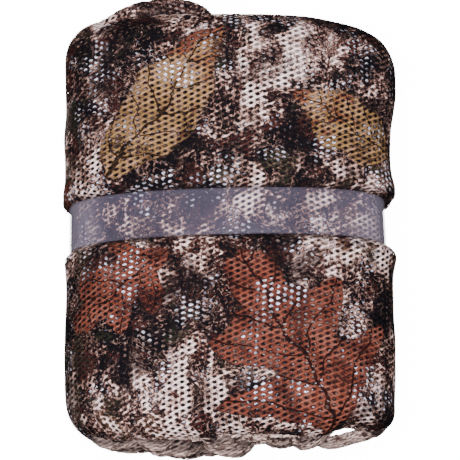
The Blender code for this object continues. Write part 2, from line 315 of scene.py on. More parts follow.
@dataclass(frozen=True)
class RollForm:
    """The outer form of the roll, in its two ends, its waist and its soft folds."""

    origin: tuple[float, float] = (0.000228, -0.004130)
    mid_height: float = 0.0450
    under_reach: float = 0.0480
    fullness: tuple[float, float] = (2.35, 2.9)
    sections: tuple = (
        (-0.140, 0.0970, 0.0968, 0.0420),
        (-0.095, 0.0984, 0.0976, 0.0438),
        (-0.055, 0.0980, 0.0970, 0.0446),
        (-0.022, 0.0974, 0.0966, 0.0442),
        (0.022, 0.0974, 0.0952, 0.0436),
        (0.052, 0.0968, 0.0944, 0.0438),
        (0.087, 0.0962, 0.0978, 0.0432),
        (0.128, 0.0960, 0.0976, 0.0412),
    )
    girth_at: float = 0.055
    foot: EndShape = EndShape(
        -0.1365,
        -1,
        {"left": 0.0285, "right": 0.018, "top": 0.009, "under": 0.018},
        {"left": 0.004, "right": 0.005, "top": 0.0085, "under": 0.003},
    )
    head: EndShape = EndShape(
        0.1262,
        1,
        {"left": 0.0195, "right": 0.030, "top": 0.016, "under": 0.020},
        {"left": 0.004, "right": 0.004, "top": 0.005, "under": 0.003},
    )
    band_width: float = 0.0285
    band_skew: float = 0.026
    skew_reach: float = 0.080
    waist_depth: dict[str, float] = field(
        default_factory=lambda: {"left": 0.0028, "right": 0.0046, "top": 0.0036, "under": 0.0020}
    )
    waist_lift: float = 0.0019
    loose_end_deg: float = -20.0
    loose_end_step: float = 0.0022
    loose_end_tuck: float = 0.0150
    turn: float = 0.0084
    columns: int = 300
    foot_trim: float = 0.0055  # how far the foot's right half is cut back
    foot_drawn_in: float = 0.015  # how deep the foot is drawn in behind its loop
    foot_lean: float = 0.24  # how much the foot leans back below its middle
    head_trim: float = 0.0018
    ends_blend: float = 0.060
    waist_zone: float = 0.040
    beside_band: tuple[float, ...] = (
        0.0, 0.0008, 0.0016, 0.0024, 0.0034, 0.0046, 0.006, 0.0078, 0.010, 0.013, 0.017,
    )
    rows_per_half: int = 12
    gather: float = 0.0011
    unevenness: tuple[float, float] = (0.0007, 0.0003)
    rim_ruffle: float = 0.0006
    print_wander: tuple[float, float] = (0.0016, 0.0018)
    face_folds: tuple = (
        (-0.075, 0.030, -0.052, 0.104, 0.013, 0.0014),
        (0.008, 0.039, 0.045, 0.038, 0.006, -0.0013),
        (0.012, 0.023, 0.040, 0.022, 0.005, -0.0011),
        (-0.020, 0.078, 0.020, 0.092, 0.014, -0.0012),
        (0.066, 0.040, 0.084, 0.090, 0.013, -0.0012),
        (-0.084, -0.040, -0.030, -0.062, 0.015, 0.0014),
        (-0.020, -0.036, 0.018, -0.104, 0.014, -0.0014),
        (0.040, -0.030, 0.066, -0.100, 0.015, 0.0014),
    )

    def reach(self, side: str, y: np.ndarray) -> np.ndarray:
        """Read how far the wrap reaches to one side at y, with no waist and no rounded ends."""
        if side == "under":
            return np.full(np.shape(y), self.under_reach)
        table = np.array(self.sections)
        column = SIDES.index(side) + 1
        place = np.clip(np.searchsorted(table[:, 0], y) - 1, 0, len(table) - 2)
        share = eased((y - table[place, 0]) / (table[place + 1, 0] - table[place, 0]))
        return table[place, column] + share * (table[place + 1, column] - table[place, column])

    def by_side(self, angle: np.ndarray, values: dict[str, float]) -> tuple[np.ndarray, np.ndarray]:
        """Read a table of the four sides for each angle: its value across, and its value upright."""
        across = np.where(np.cos(angle) >= 0.0, values["right"], values["left"])
        upright = np.where(np.sin(angle) >= 0.0, values["top"], values["under"])
        return across, upright

    def blended(self, angle: np.ndarray, values: dict[str, float]) -> np.ndarray:
        """Read a table of the four sides for each angle as one value that changes smoothly round the roll."""
        weight = {
            "right": np.maximum(np.cos(angle), 0.0) ** 2,
            "left": np.minimum(np.cos(angle), 0.0) ** 2,
            "top": np.maximum(np.sin(angle), 0.0) ** 2,
            "under": np.minimum(np.sin(angle), 0.0) ** 2,
        }
        return sum(weight[side] * values[side] for side in SIDES)

    def outline(self, angle: np.ndarray, across: np.ndarray, upright: np.ndarray) -> tuple[np.ndarray, np.ndarray]:
        """Return (x, z) on the section with these half sizes."""
        cos, sin = np.cos(angle), np.sin(angle)
        power = 2.0 / np.where(sin >= 0.0, self.fullness[0], self.fullness[1])
        x = np.sign(cos) * np.abs(cos) ** power * np.maximum(across, self.turn / 4)
        z = np.sign(sin) * np.abs(sin) ** power * np.maximum(upright, self.turn / 8)
        return x, self.mid_height + z

    def angles(self, columns: int, past: float = 0.0) -> tuple[np.ndarray, np.ndarray]:
        """Return angles with equal steps along the section from the loose end round, and the run to each.

        Args:
            columns: How many.
            past: How far they go on past one full turn, in metres.

        Returns:
            The angles in radians and the running lengths in metres.
        """
        start = math.radians(self.loose_end_deg)
        fine = start + np.linspace(0.0, 2.6 * math.pi, 4000)
        y = np.full(fine.shape, self.girth_at)
        across = np.where(np.cos(fine) >= 0, self.reach("right", y), self.reach("left", y))
        upright = np.where(np.sin(fine) >= 0, self.reach("top", y), self.reach("under", y))
        x, z = self.outline(fine, across, upright)
        run = np.concatenate([[0.0], np.cumsum(np.hypot(np.diff(x), np.diff(z)))])
        girth = np.interp(start + 2.0 * math.pi, fine, run)
        wanted = np.linspace(0.0, girth + past, columns)
        return np.interp(wanted, run, fine), wanted

    def girth(self) -> float:
        """Return the length once round the roll."""
        return float(self.angles(2)[1][-1])

    def waist(self, y: np.ndarray) -> np.ndarray:
        """Return the share of the waist at y: 1 under the band, with a steep step at each of its edges."""
        beyond = np.maximum(0.0, np.abs(y) - self.band_width / 2.0 - 0.0002)
        return np.exp(-((beyond / 0.0020) ** 1.5))

    def swell(self, y: np.ndarray) -> np.ndarray:
        """Return how far the pinched cloth swells beside the band, 1 at the most."""
        beyond = np.abs(y) - self.band_width / 2.0
        return np.where(beyond > 0.0, bell((beyond - 0.006) / 0.007), 0.0)

    def settle(self, points: np.ndarray) -> np.ndarray:
        """Move points to their place: the band's skew, the two ends' lean, trim and drawn-in part, and the origin."""
        x, y, z = points[..., 0], points[..., 1], points[..., 2]
        skew = self.band_skew * x * eased(1.0 - np.abs(y) / self.skew_reach)
        trim = self.foot_trim * eased((x - 0.040) / 0.030)
        window = eased((x - 0.060) / 0.010 + 0.5) * eased((0.082 - x) / 0.010 + 0.5)
        drawn = self.foot_drawn_in * window * np.maximum(0.0, 1.0 - z / 0.080)
        lean = self.foot_lean * np.maximum(0.0, 0.056 - z)
        near_foot = eased(1.0 - (y - self.foot.y) / self.ends_blend)
        head_trim = self.head_trim * eased((x - 0.040) / 0.036)
        near_head = eased(1.0 - (self.head.y - y) / self.ends_blend)
        moved = y + skew + (trim + drawn + lean) * near_foot - head_trim * near_head
        return np.stack([x - self.origin[0], moved - self.origin[1], z], axis=-1)

    def face_relief(self, x: np.ndarray, y: np.ndarray) -> np.ndarray:
        """Return the height of the soft folds of the upper face."""
        height = np.zeros(x.shape)
        for x0, y0, x1, y1, spread, tall in self.face_folds:
            length = (x1 - x0) ** 2 + (y1 - y0) ** 2
            share = np.clip(((x - x0) * (x1 - x0) + (y - y0) * (y1 - y0)) / length, 0.0, 1.0)
            away = np.hypot(x - x0 - share * (x1 - x0), y - y0 - share * (y1 - y0))
            height += tall * bell(away / spread)
        return height

    def _end_rows(self, end: EndShape, angle: np.ndarray, inset: float, turn_in: bool) -> list[tuple]:
        """Return rows from the corner's start out to the wrap's edge, and in again.

        Args:
            end: Which end.
            angle: Angles round the roll.
            inset: How far inside the outer form the surface lies.
            turn_in: True if the edge turns in and is tucked away.

        Returns:
            Tuples of distance from the end, inset across, inset upright and depth.
        """
        rows = []
        last_across, last_upright = self.by_side(angle, {side: end.last_angle(side) for side in SIDES})
        last = self.blended(angle, {side: end.last_angle(side) for side in SIDES})
        radius_across, radius_upright = self.by_side(angle, end.corner)
        for share in np.linspace(0.0, 1.0, 15):
            slope = {side: share * end.last_angle(side) for side in SIDES}
            out = {side: end.corner[side] * (1.0 - math.sin(slope[side])) for side in SIDES}
            rows.append(
                (
                    self.blended(angle, out) + inset * np.sin(share * last),
                    radius_across * (1.0 - np.cos(share * last_across)),
                    radius_upright * (1.0 - np.cos(share * last_upright)),
                    np.zeros(angle.shape),
                )
            )
        if not turn_in:
            return rows
        away, across, upright, _ = rows[-1]
        radius = end.edge_radius
        for share in np.linspace(0.0, 1.0, 9)[1:]:
            slope = last + (math.pi - last) * share
            moved = away - radius * (np.sin(slope) - np.sin(last))
            rows.append((moved, across, upright, radius * (np.cos(last) - np.cos(slope))))
        moved, _, _, depth = rows[-1]
        rows += [(moved + end.tuck * share, across, upright, depth) for share in (0.5, 1.0)]
        return rows

    def wrap(self, inset: float = 0.0, turn_in: bool = True, past: float | None = None) -> Patch:
        """Build the outer wrap, or a layer inside it, as one patch.

        Args:
            inset: How far inside the outer form it lies.
            turn_in: True if its two edges turn in and are tucked away.
            past: How far it runs on under its own loose end.

        Returns:
            The patch; its flat coordinates are the run round the roll and along it.
        """
        past = self.loose_end_tuck if past is None else past
        angle, run = self.angles(self.columns, past)
        foot = self._end_rows(self.foot, angle, inset, turn_in)
        head = self._end_rows(self.head, angle, inset, turn_in)
        rows = [(self.foot.y + away, a, u, d) for away, a, u, d in reversed(foot)]
        zone = self.waist_zone
        foot_start, head_start = self.foot.y + foot[0][0], self.head.y - head[0][0]
        flat = (0.0, 0.0, 0.0)
        shares = np.linspace(0.0, 1.0, self.rows_per_half + 2)[1:-1]
        for share in shares:
            rows.append((foot_start + (-zone - foot_start) * share, *flat))
        edge = self.band_width / 2.0
        beside = edge + np.array(self.beside_band)
        beside = np.concatenate([beside, np.linspace(0.022 + edge, zone, 4)])
        middle = np.concatenate([-beside[::-1], np.linspace(-edge, edge, 9)[1:-1], beside])
        rows += [(np.full(angle.shape, y), *flat) for y in middle]
        for share in shares:
            rows.append((zone + (head_start - zone) * share, *flat))
        rows += [(self.head.y - away, a, u, d) for away, a, u, d in head]
        points = np.stack([self._row(angle, run, *row, inset) for row in rows])
        half = len(foot) + self.rows_per_half + len(middle) // 2
        along = measured(points, 0)
        along = along - along[half]
        around = np.broadcast_to(run, along.shape)
        wander_u = self.print_wander[0] * ripple(around, along, 0.070, 3.0)
        wander_v = self.print_wander[1] * ripple(around, along, 0.060, 7.0)
        uv = np.stack([around + wander_u, along + wander_v + 0.02 * around], axis=-1)
        place = np.stack([np.broadcast_to(row[0], angle.shape) for row in rows])
        depth = np.stack([np.broadcast_to(row[3], angle.shape) for row in rows])
        # painted shade: a dark line just beside the band's edges, and darkening where the wrap's edge is tucked in
        beside_band = bell((np.abs(place) - self.band_width / 2.0 - 0.0006) / 0.0016)
        painted_shade = 0.75 * beside_band + 0.9 * eased(depth / 0.0030)
        return make_patch(points, uv, outward=-1, painted_shade=painted_shade)

    def _row(
        self,
        angle: np.ndarray,
        run: np.ndarray,
        y: np.ndarray,
        in_across: np.ndarray,
        in_upright: np.ndarray,
        depth: np.ndarray,
        inset: float,
    ) -> np.ndarray:
        """Build one ring of the wrap.

        Args:
            angle: Angles round the roll.
            run: Running lengths at those angles.
            y: Where the ring is along the roll.
            in_across: How far the rounded end draws it in at the sides.
            in_upright: How far the rounded end draws it in above and below.
            depth: How far it is tucked in at the wrap's edge.
            inset: How far inside the outer form the whole layer lies.

        Returns:
            Points in the part's frame.
        """
        y = np.broadcast_to(y, angle.shape)
        across = np.where(np.cos(angle) >= 0, self.reach("right", y), self.reach("left", y)) - in_across
        upright = np.where(np.sin(angle) >= 0, self.reach("top", y), self.reach("under", y)) - in_upright
        waist_across, waist_upright = self.by_side(angle, self.waist_depth)
        waist = self.waist(y)
        x, z = self.outline(
            angle, across - depth - inset - waist_across * waist, upright - depth - inset - waist_upright * waist
        )
        out_x, out_z = x / 0.0976, (z - self.mid_height) / self.mid_height
        size = np.maximum(np.hypot(out_x, out_z), 1e-9)
        out_x, out_z = out_x / size, out_z / size
        free = 1.0 - waist
        ends = eased((y - self.foot.y) / 0.012) * eased((self.head.y - y) / 0.012)
        step = self.loose_end_step * (1.0 - run / self.girth()) * (0.25 + 0.75 * free) * (0.35 + 0.65 * ends)
        upper = eased((z - self.mid_height) / 0.027)
        sideways = np.cos(angle) ** 2
        gather = ripple(run, np.sign(y) * 0.5 + 0 * y, 0.011, 11.0) * (0.4 + 0.9 * sideways)
        gather = self.gather * gather * bell(np.maximum(0.0, np.abs(y) - 0.0155) / 0.016) * free
        lower_left = eased(-np.cos(angle)) * (y < 0.0)
        swollen = self.swell(y) * (0.0004 + 0.0008 * sideways) * (1.0 - lower_left)
        broad, small = self.unevenness
        uneven = broad * ripple(run, y, 0.050, 21.0) + small * ripple(run, y, 0.016, 31.0)
        head_half = eased((y - 0.026) / 0.034)
        beside_head = np.where(np.cos(angle) < 0.0, 0.0019, 0.0002) * head_half
        fitted = (beside_head - 0.0014 * eased(-y / 0.030)) * sideways
        # near the two ends the narrower rim gathers the cloth
        near_end = bell((y - self.foot.y) / 0.016) + bell((self.head.y - y) / 0.018)
        rim = self.rim_ruffle * near_end * ripple(run, 0.10 * y, 0.0075, 41.0)
        out = step + upper * self.face_relief(x, y) * ends * free + gather + swollen + (uneven + fitted) * free + rim
        lowest = self.waist_lift * waist + 0.0007 + 0.3 * inset
        # the front edge of the foot hangs back from the slack folds, and wavers
        near_foot = eased(1.0 - (y - self.foot.y) / 0.030) * eased((z - 0.045) / 0.030)
        back = 0.0006 + 0.0026 * eased((x + 0.018) / 0.018) * eased((0.058 - x) / 0.018)
        back = back + 0.0007 * ripple(x, 0 * x, 0.016, 71.0)
        points = np.stack([x + out_x * out, y + back * near_foot, np.maximum(lowest, z + out_z * out)], axis=-1)
        return self.settle(points)

    def end_point(self, end: EndShape, angle: np.ndarray, depth: np.ndarray) -> tuple[np.ndarray, np.ndarray]:
        """Return (x, z) at a depth inside the rim of one end, before it settles."""
        y = end.y - end.facing * end.setback
        rim = {side: end.corner[side] * (1.0 - math.cos(end.leaving_angle(side))) for side in SIDES}
        in_across, in_upright = self.by_side(angle, rim)
        ring = np.full(angle.shape, y)
        across = np.where(np.cos(angle) >= 0, self.reach("right", ring), self.reach("left", ring)) - in_across
        upright = np.where(np.sin(angle) >= 0, self.reach("top", ring), self.reach("under", ring)) - in_upright
        return self.outline(angle, across - depth, upright - depth)


# ------------------------------------------------------------------------------------------- perforated cloth


@dataclass(frozen=True)
class Perforation:
    """The net's mesh: a staggered lattice of lens-shaped holes, cut into a folded form by Geometry Nodes."""

    column_pitch: float = 0.00387
    row_pitch: float = 0.00345
    hole_length: float = 0.00292
    hole_height: float = 0.00186
    lens: float = 0.66
    crest: float = 0.00042
    merge: float = 0.00005

    def tree(self) -> bpy.types.NodeTree:
        """Build the node tree once, and return it each time."""
        made = bpy.data.node_groups.get("perforate_cloth")
        if made:
            return made
        made = bpy.data.node_groups.new("perforate_cloth", "GeometryNodeTree")
        for name, kind in (
            ("Form", "NodeSocketGeometry"),
            ("Columns", "NodeSocketInt"),
            ("Rows", "NodeSocketInt"),
            ("Column Pitch", "NodeSocketFloat"),
            ("Row Pitch", "NodeSocketFloat"),
            ("Hole Length", "NodeSocketFloat"),
            ("Hole Height", "NodeSocketFloat"),
            ("Lens", "NodeSocketFloat"),
            ("Crest", "NodeSocketFloat"),
            ("Slant", "NodeSocketFloat"),
            ("Start", "NodeSocketVector"),
            ("Merge", "NodeSocketFloat"),
            ("Finish", "NodeSocketMaterial"),
        ):
            made.interface.new_socket(name=name, in_out="INPUT", socket_type=kind)
        made.interface.new_socket(name="Cloth", in_out="OUTPUT", socket_type="NodeSocketGeometry")
        graph = Graph(made)
        given = graph.add("NodeGroupInput")

        def read(name: str) -> Wire:
            """Return one of the tree's inputs."""
            return graph.out(given, name)

        index = graph.add("GeometryNodeInputIndex")
        # one cell: a ring of six faces between the hole's edge and the cell's edge, where the strands crest
        corner = (index / 2.0).floor() * (math.pi / 3.0)
        ring = index % 2.0
        half_x = read("Hole Length") * 0.5 * (1.0 - ring) + read("Column Pitch") * (2.0 / 3.0) * ring
        hole_y = read("Hole Height") * (0.5 / math.sin(math.pi / 3.0))
        cell_y = read("Row Pitch") * (0.5 / math.sin(math.pi / 3.0))
        half_y = hole_y * (1.0 - ring) + cell_y * ring
        pinch = 1.0 - read("Lens") * (1.0 - ring) * (1.0 - abs(corner.cos()))
        place = graph.combine(corner.cos() * half_x * pinch, corner.sin() * half_y, ring)
        cell = graph.add("GeometryNodeMeshGrid", None, {"Vertices X": 7, "Vertices Y": 2})
        cell = graph.add("GeometryNodeSetPosition", None, {"Geometry": cell, "Position": place})
        # the lattice: every second column is half a pitch further on
        column = (index / read("Rows")).floor()
        row = index - column * read("Rows")
        along = (row + (column % 2.0) * 0.5) * read("Row Pitch")
        spot = graph.combine(column * read("Column Pitch"), along)
        lattice = graph.add(
            "GeometryNodeMeshGrid", None, {"Vertices X": read("Columns"), "Vertices Y": read("Rows")}
        )
        lattice = graph.add("GeometryNodeSetPosition", None, {"Geometry": lattice, "Position": spot})
        cells = graph.add("GeometryNodeInstanceOnPoints", None, {"Points": lattice, "Instance": cell})
        cells = graph.add("GeometryNodeRealizeInstances", None, {"Geometry": cells})
        # each point remembers its place among the strands: columns, rows, and 0 at a hole's edge to 1 on a crest
        here_x, here_y, here_z = graph.split(graph.add("GeometryNodeInputPosition"))
        strand = graph.combine(here_x / (read("Column Pitch") * 2.0), here_y / read("Row Pitch"), here_z)
        cells = graph.add(
            "GeometryNodeStoreNamedAttribute",
            {"data_type": "FLOAT_VECTOR", "domain": "POINT"},
            {"Geometry": cells, "Name": "strand", "Value": strand},
        )
        slant = graph.combine(0.0, 0.0, read("Slant"))
        cells = graph.add(
            "GeometryNodeTransform", None, {"Geometry": cells, "Translation": read("Start"), "Rotation": slant}
        )
        cells = graph.add("GeometryNodeMergeByDistance", None, {"Geometry": cells, "Distance": read("Merge")})
        # carry the flat cloth onto the form
        flat = graph.add("GeometryNodeInputPosition")
        flat_x, flat_y, flat_z = graph.split(flat)
        flat_place = graph.combine(flat_x, flat_y)
        cells = graph.add(
            "GeometryNodeStoreNamedAttribute",
            {"data_type": "FLOAT2", "domain": "CORNER"},
            {"Geometry": cells, "Name": "cloth", "Value": flat_place},
        )
        chart = graph.add("GeometryNodeInputNamedAttribute", {"data_type": "FLOAT_VECTOR"}, {"Name": "cloth"})
        outward = graph.add("GeometryNodeInputNamedAttribute", {"data_type": "FLOAT_VECTOR"}, {"Name": "lift"})
        painted_shade = graph.add("GeometryNodeInputNamedAttribute", {"data_type": "FLOAT_VECTOR"}, {"Name": "painted_shade"})

        def carried(value: Wire) -> Wire:
            """Read a value of the form at the flat place of each point."""
            return graph.add(
                "GeometryNodeSampleUVSurface",
                {"data_type": "FLOAT_VECTOR"},
                {"Mesh": read("Form"), "Value": value, "UV Map": chart, "Sample UV": flat_place},
            )

        landed = carried(graph.add("GeometryNodeInputPosition"))
        valid = graph.out(landed, "Is Valid")
        missed = graph.add("FunctionNodeBooleanMath", {"operation": "NOT"}, {0: valid})
        cells = graph.add("GeometryNodeDeleteGeometry", {"domain": "POINT"}, {"Geometry": cells, "Selection": missed})
        cells = graph.add(
            "GeometryNodeStoreNamedAttribute",
            {"data_type": "FLOAT_VECTOR", "domain": "POINT"},
            {"Geometry": cells, "Name": "painted_shade", "Value": carried(painted_shade)},
        )
        raised = graph.add(
            "ShaderNodeVectorMath",
            {"operation": "SCALE"},
            {0: carried(outward), "Scale": flat_z * read("Crest")},
        )
        final = graph.vector("ADD", landed, raised)
        cells = graph.add("GeometryNodeSetPosition", None, {"Geometry": cells, "Position": final})
        cells = graph.add("GeometryNodeSetShadeSmooth", None, {"Geometry": cells, "Shade Smooth": True})
        cells = graph.add("GeometryNodeRealizeInstances", None, {"Geometry": cells})
        cells = graph.add("GeometryNodeSetMaterial", None, {"Geometry": cells, "Material": read("Finish")})
        graph.add("NodeGroupOutput", None, {0: cells})
        return made

    def cut(
        self, name: str, patches: list[Patch], finish: bpy.types.Material, slant_deg: float = 0.0
    ) -> bpy.types.Object:
        """Perforate folded cloth.

        Args:
            name: Name of the piece.
            patches: The folded forms; their flat coordinates don't overlap.
            finish: The cloth's material.
            slant_deg: How far the lattice is turned on the cloth.

        Returns:
            The finished piece, as one plain mesh.
        """
        form = form_object(name + "_form", patches)
        flat = np.concatenate([patch.flat.reshape(-1, 2) for patch in patches])
        low, high = flat.min(0), flat.max(0)
        slant = math.radians(slant_deg)
        spare = abs(math.sin(slant))
        size = high - low
        width, height = size[0] + spare * size[1], size[1] + spare * size[0]
        centre = (low + high) / 2.0
        half = np.array([width, height]) / 2.0
        cos, sin = math.cos(slant), math.sin(slant)
        turned = np.array([cos * half[0] - sin * half[1], sin * half[0] + cos * half[1]])
        start = centre - turned
        modifier = form.modifiers.new("perforate", "NODES")
        modifier.node_group = self.tree()
        values = {
            "Columns": int(width / self.column_pitch) + 2,
            "Rows": int(height / self.row_pitch) + 2,
            "Column Pitch": self.column_pitch,
            "Row Pitch": self.row_pitch,
            "Hole Length": self.hole_length,
            "Hole Height": self.hole_height,
            "Lens": self.lens,
            "Crest": self.crest,
            "Slant": slant,
            "Start": (float(start[0]), float(start[1]), 0.0),
            "Merge": self.merge,
            "Finish": finish,
        }
        for item in modifier.node_group.interface.items_tree:
            if item.in_out == "INPUT" and item.name in values:
                modifier[item.identifier] = values[item.name]
        piece = plain_copy(form, name)
        face_outwards(piece, patches)
        return piece


def form_object(name: str, patches: list[Patch]) -> bpy.types.Object:
    """Make a quad object from patches: the flat cloth as its UV map, the way out and painted shade as attributes."""
    vertices, faces, flats, lifts, painted_shades, base = [], [], [], [], [], 0
    for patch in patches:
        rows, columns = patch.points.shape[:2]
        vertices.append(patch.points.reshape(-1, 3))
        flats.append(patch.flat.reshape(-1, 2))
        lifts.append(patch.lift.reshape(-1, 3))
        painted_shades.append(patch.painted_shade.reshape(-1, 1) * np.array([[1.0, 0.0, 0.0]]))
        corner = base + (np.arange(rows - 1)[:, None] * columns + np.arange(columns - 1)[None, :]).ravel()
        faces.append(np.stack([corner, corner + 1, corner + columns + 1, corner + columns], axis=1))
        base += rows * columns
    mesh = bpy.data.meshes.new(name)
    faces = np.concatenate(faces)
    mesh.from_pydata(np.concatenate(vertices).tolist(), [], faces.tolist())
    chart = mesh.uv_layers.new(name="cloth")
    chart.data.foreach_set("uv", np.concatenate(flats)[faces.ravel()].astype(np.float32).ravel())
    for label, values in (("lift", lifts), ("painted_shade", painted_shades)):
        attribute = mesh.attributes.new(label, "FLOAT_VECTOR", "POINT")
        attribute.data.foreach_set("vector", np.concatenate(values).astype(np.float32).ravel())
    mesh.shade_smooth()
    made = bpy.data.objects.new(name, mesh)
    bpy.context.scene.collection.objects.link(made)
    return made


def plain_copy(source: bpy.types.Object, name: str) -> bpy.types.Object:
    """Turn an object with modifiers into one with a plain mesh, and remove the first."""
    bpy.context.view_layer.update()
    depsgraph = bpy.context.evaluated_depsgraph_get()
    mesh = bpy.data.meshes.new_from_object(
        source.evaluated_get(depsgraph), preserve_all_data_layers=True, depsgraph=depsgraph
    )
    mesh.name = name
    made = bpy.data.objects.new(name, mesh)
    bpy.context.scene.collection.objects.link(made)
    bpy.data.objects.remove(source)
    return made


def face_outwards(piece: bpy.types.Object, patches: list[Patch]) -> None:
    """Flip a perforated piece if its faces point against the patches' way out."""
    mesh = piece.data
    normals = np.zeros(len(mesh.polygons) * 3, np.float32)
    centres = np.zeros(len(mesh.polygons) * 3, np.float32)
    mesh.polygons.foreach_get("normal", normals)
    mesh.polygons.foreach_get("center", centres)
    some = np.linspace(0, len(mesh.polygons) - 1, 300).astype(int)
    points = np.concatenate([patch.points.reshape(-1, 3) for patch in patches])
    lifts = np.concatenate([patch.lift.reshape(-1, 3) for patch in patches])
    score = 0.0
    for place in some:
        centre = centres.reshape(-1, 3)[place]
        nearest = int(np.argmin(np.sum((points - centre) ** 2, axis=1)))
        score += float(normals.reshape(-1, 3)[place] @ lifts[nearest])
    if score < 0.0:
        mesh.flip_normals()


# ----------------------------------------------------------------------------------------------------- finishes


class ClothSide(Enum):
    """Which face of the printed cloth shows, and how deep in the roll it lies, which sets its painted shade."""

    PRINTED = "printed"
    BENEATH = "beneath"
    REVERSE = "reverse"
    DEEP = "deep"
    INNER_PALE = "inner_pale"
    INNER_PRINTED = "inner_printed"


@dataclass(frozen=True)
class PrintedLeaf:
    """One leaf of the print, on the flat cloth."""

    u: float
    v: float
    turn_deg: float
    length: float
    width: float
    lobed: float
    tan: bool


@dataclass(frozen=True)
class PrintedNetFinish:
    """Knitted polyester mesh with a generic bark-and-leaves print, pale on its reverse side."""

    side: ClothSide
    black: tuple = ink(0.0036, 0.0028, 0.0036)
    umber: tuple = ink(0.0150, 0.0090, 0.0090)
    brown: tuple = ink(0.0600, 0.0270, 0.0210)
    beige: tuple = ink(0.4500, 0.2550, 0.1850)
    cream: tuple = ink(0.9000, 0.6900, 0.6100)
    rust: tuple = ink(0.1620, 0.0390, 0.0210)
    rust_dark: tuple = ink(0.0420, 0.0115, 0.0085)
    tan: tuple = ink(0.2700, 0.1500, 0.0500)
    tan_dark: tuple = ink(0.0520, 0.0250, 0.0120)
    olive: tuple = ink(0.0230, 0.0230, 0.0110)
    lining: tuple = ink(0.9200, 0.8800, 0.9600)
    inside: tuple = ink(0.9000, 0.6300, 0.5000)
    bark_places: tuple[float, ...] = (0.462, 0.502, 0.543, 0.584, 0.645)
    bark_level: float = 0.625
    coarse_size: float = 0.030
    medium_size: float = 0.0085
    grain_size: float = 0.0018
    shade_size: float = 0.055
    bend_size: float = 0.03
    bend: float = 0.022
    # painted shade darkens the print near these two places, where the roll turns down at its sides
    left_side_u: float = 0.252  # where the roll turns down at its left, on the flat cloth
    right_side_u: float = 0.012
    dark_cover: float = 0.84
    layer_shift: tuple[float, float, float] = (0.137, 0.061, 0.0)
    roughness: float = 0.82
    specular: float = 0.05
    leaves: tuple[PrintedLeaf, ...] = (
        PrintedLeaf(0.104, -0.080, 62.0, 0.068, 0.56, 0.42, False),
        PrintedLeaf(0.176, 0.076, 128.0, 0.056, 0.42, 0.10, True),
        PrintedLeaf(0.206, -0.046, -38.0, 0.040, 0.50, 0.35, False),
        PrintedLeaf(0.068, 0.058, 24.0, 0.042, 0.46, 0.10, True),
        PrintedLeaf(0.290, 0.040, 75.0, 0.066, 0.55, 0.40, False),
        PrintedLeaf(0.350, -0.080, 15.0, 0.060, 0.45, 0.10, True),
        PrintedLeaf(0.420, 0.070, -35.0, 0.064, 0.55, 0.40, False),
        PrintedLeaf(0.010, -0.030, 95.0, 0.045, 0.45, 0.20, True),
    )

    def material(self) -> bpy.types.Material:
        """Build the material for this side of the cloth."""
        made = bpy.data.materials.new("net_" + self.side.value)
        made.use_nodes = True
        graph = Graph(made.node_tree)
        shader = made.node_tree.nodes["Principled BSDF"]
        place = graph.add("ShaderNodeUVMap", {"uv_map": "cloth"})
        if self.side not in (ClothSide.PRINTED, ClothSide.REVERSE):
            place = graph.vector("ADD", place, self.layer_shift)
        colour = self._print(graph, place)
        colour = self._side_colour_and_painted_shade(graph, place, colour)
        if self.side in (ClothSide.PRINTED, ClothSide.BENEATH, ClothSide.REVERSE):
            colour = self._painted_strand_light(graph, colour)
        # painted shade: the cloth's painted shade attribute darkens it towards black in creases, under edges and
        # beside the band
        painted_shade, _, _ = graph.split(graph.add("ShaderNodeAttribute", {"attribute_name": "painted_shade"}, out="Vector"))
        colour = graph.mix(colour, self.black, painted_shade * 0.9)
        made.node_tree.links.new(colour.socket, shader.inputs["Base Color"])
        shader.inputs["Roughness"].default_value = self.roughness
        shader.inputs["Specular IOR Level"].default_value = self.specular
        fibre = graph.cloud(place, 0.0006, 2.0, 0.6)
        knit = graph.cloud(place, 0.0018, 1.0, 0.5)
        bump = graph.add(
            "ShaderNodeBump", None, {"Strength": 0.35, "Distance": 0.0003, "Height": fibre * 0.6 + knit * 0.6}
        )
        made.node_tree.links.new(bump.socket, shader.inputs["Normal"])
        return made

    def _painted_strand_light(self, graph: Graph, colour: Wire) -> Wire:
        """Paint shade at each hole's edge and a highlight along the threads that run up to the right."""
        strand = graph.add("ShaderNodeAttribute", {"attribute_name": "strand"}, out="Vector")
        column, row, crest = graph.split(strand)
        away = abs((row + column) % 1.0 - 0.5)
        # painted highlight along the threads, painted shade towards each hole's edge
        light = away.rise(0.25, 0.07) * 0.40 + crest.rise(0.0, 0.7) * 0.34 + 0.30
        return graph.vector("MULTIPLY", colour, graph.combine(light, light, light))

    def _warped(self, graph: Graph, place: Wire) -> Wire:
        """Bend the place on the cloth, so that nothing in the print runs straight."""
        values = {"Vector": place, "Scale": 1.0 / self.bend_size, "Detail": 2.0}
        bend = graph.add("ShaderNodeTexNoise", None, values, out="Color")
        bend = graph.vector("SUBTRACT", bend, (0.5, 0.5, 0.5))
        bend = graph.add("ShaderNodeVectorMath", {"operation": "SCALE"}, {0: bend, "Scale": self.bend})
        return graph.vector("ADD", place, bend)

    def _tone(self, graph: Graph, warped: Wire) -> tuple[Wire, Wire]:
        """Return how light the bark is at a place, and its finest part alone."""
        u, v, _ = graph.split(warped)
        coarse = graph.cloud(graph.combine(u * 2.0, v * 0.8), self.coarse_size, 5.0, 0.62)
        medium = graph.cloud(warped, self.medium_size, 4.0, 0.65)
        grain = graph.cloud(warped, self.grain_size, 3.0, 0.65)
        shade = graph.cloud(graph.vector("ADD", warped, (0.4, 0.2, 0.0)), self.shade_size, 2.0, 0.5)
        return coarse * 0.60 + medium * 0.55 + grain * 0.50 + shade * 0.60 - self.bark_level, grain

    def _print(self, graph: Graph, place: Wire) -> Wire:
        """Return the printed colour at a place on the cloth."""
        warped = self._warped(graph, place)
        tone, grain = self._tone(graph, warped)
        inks = (self.black, self.umber, self.brown, self.beige, self.cream)
        bark = graph.add("ShaderNodeValToRGB", {"stops": tuple(zip(self.bark_places, inks))}, {0: tone})
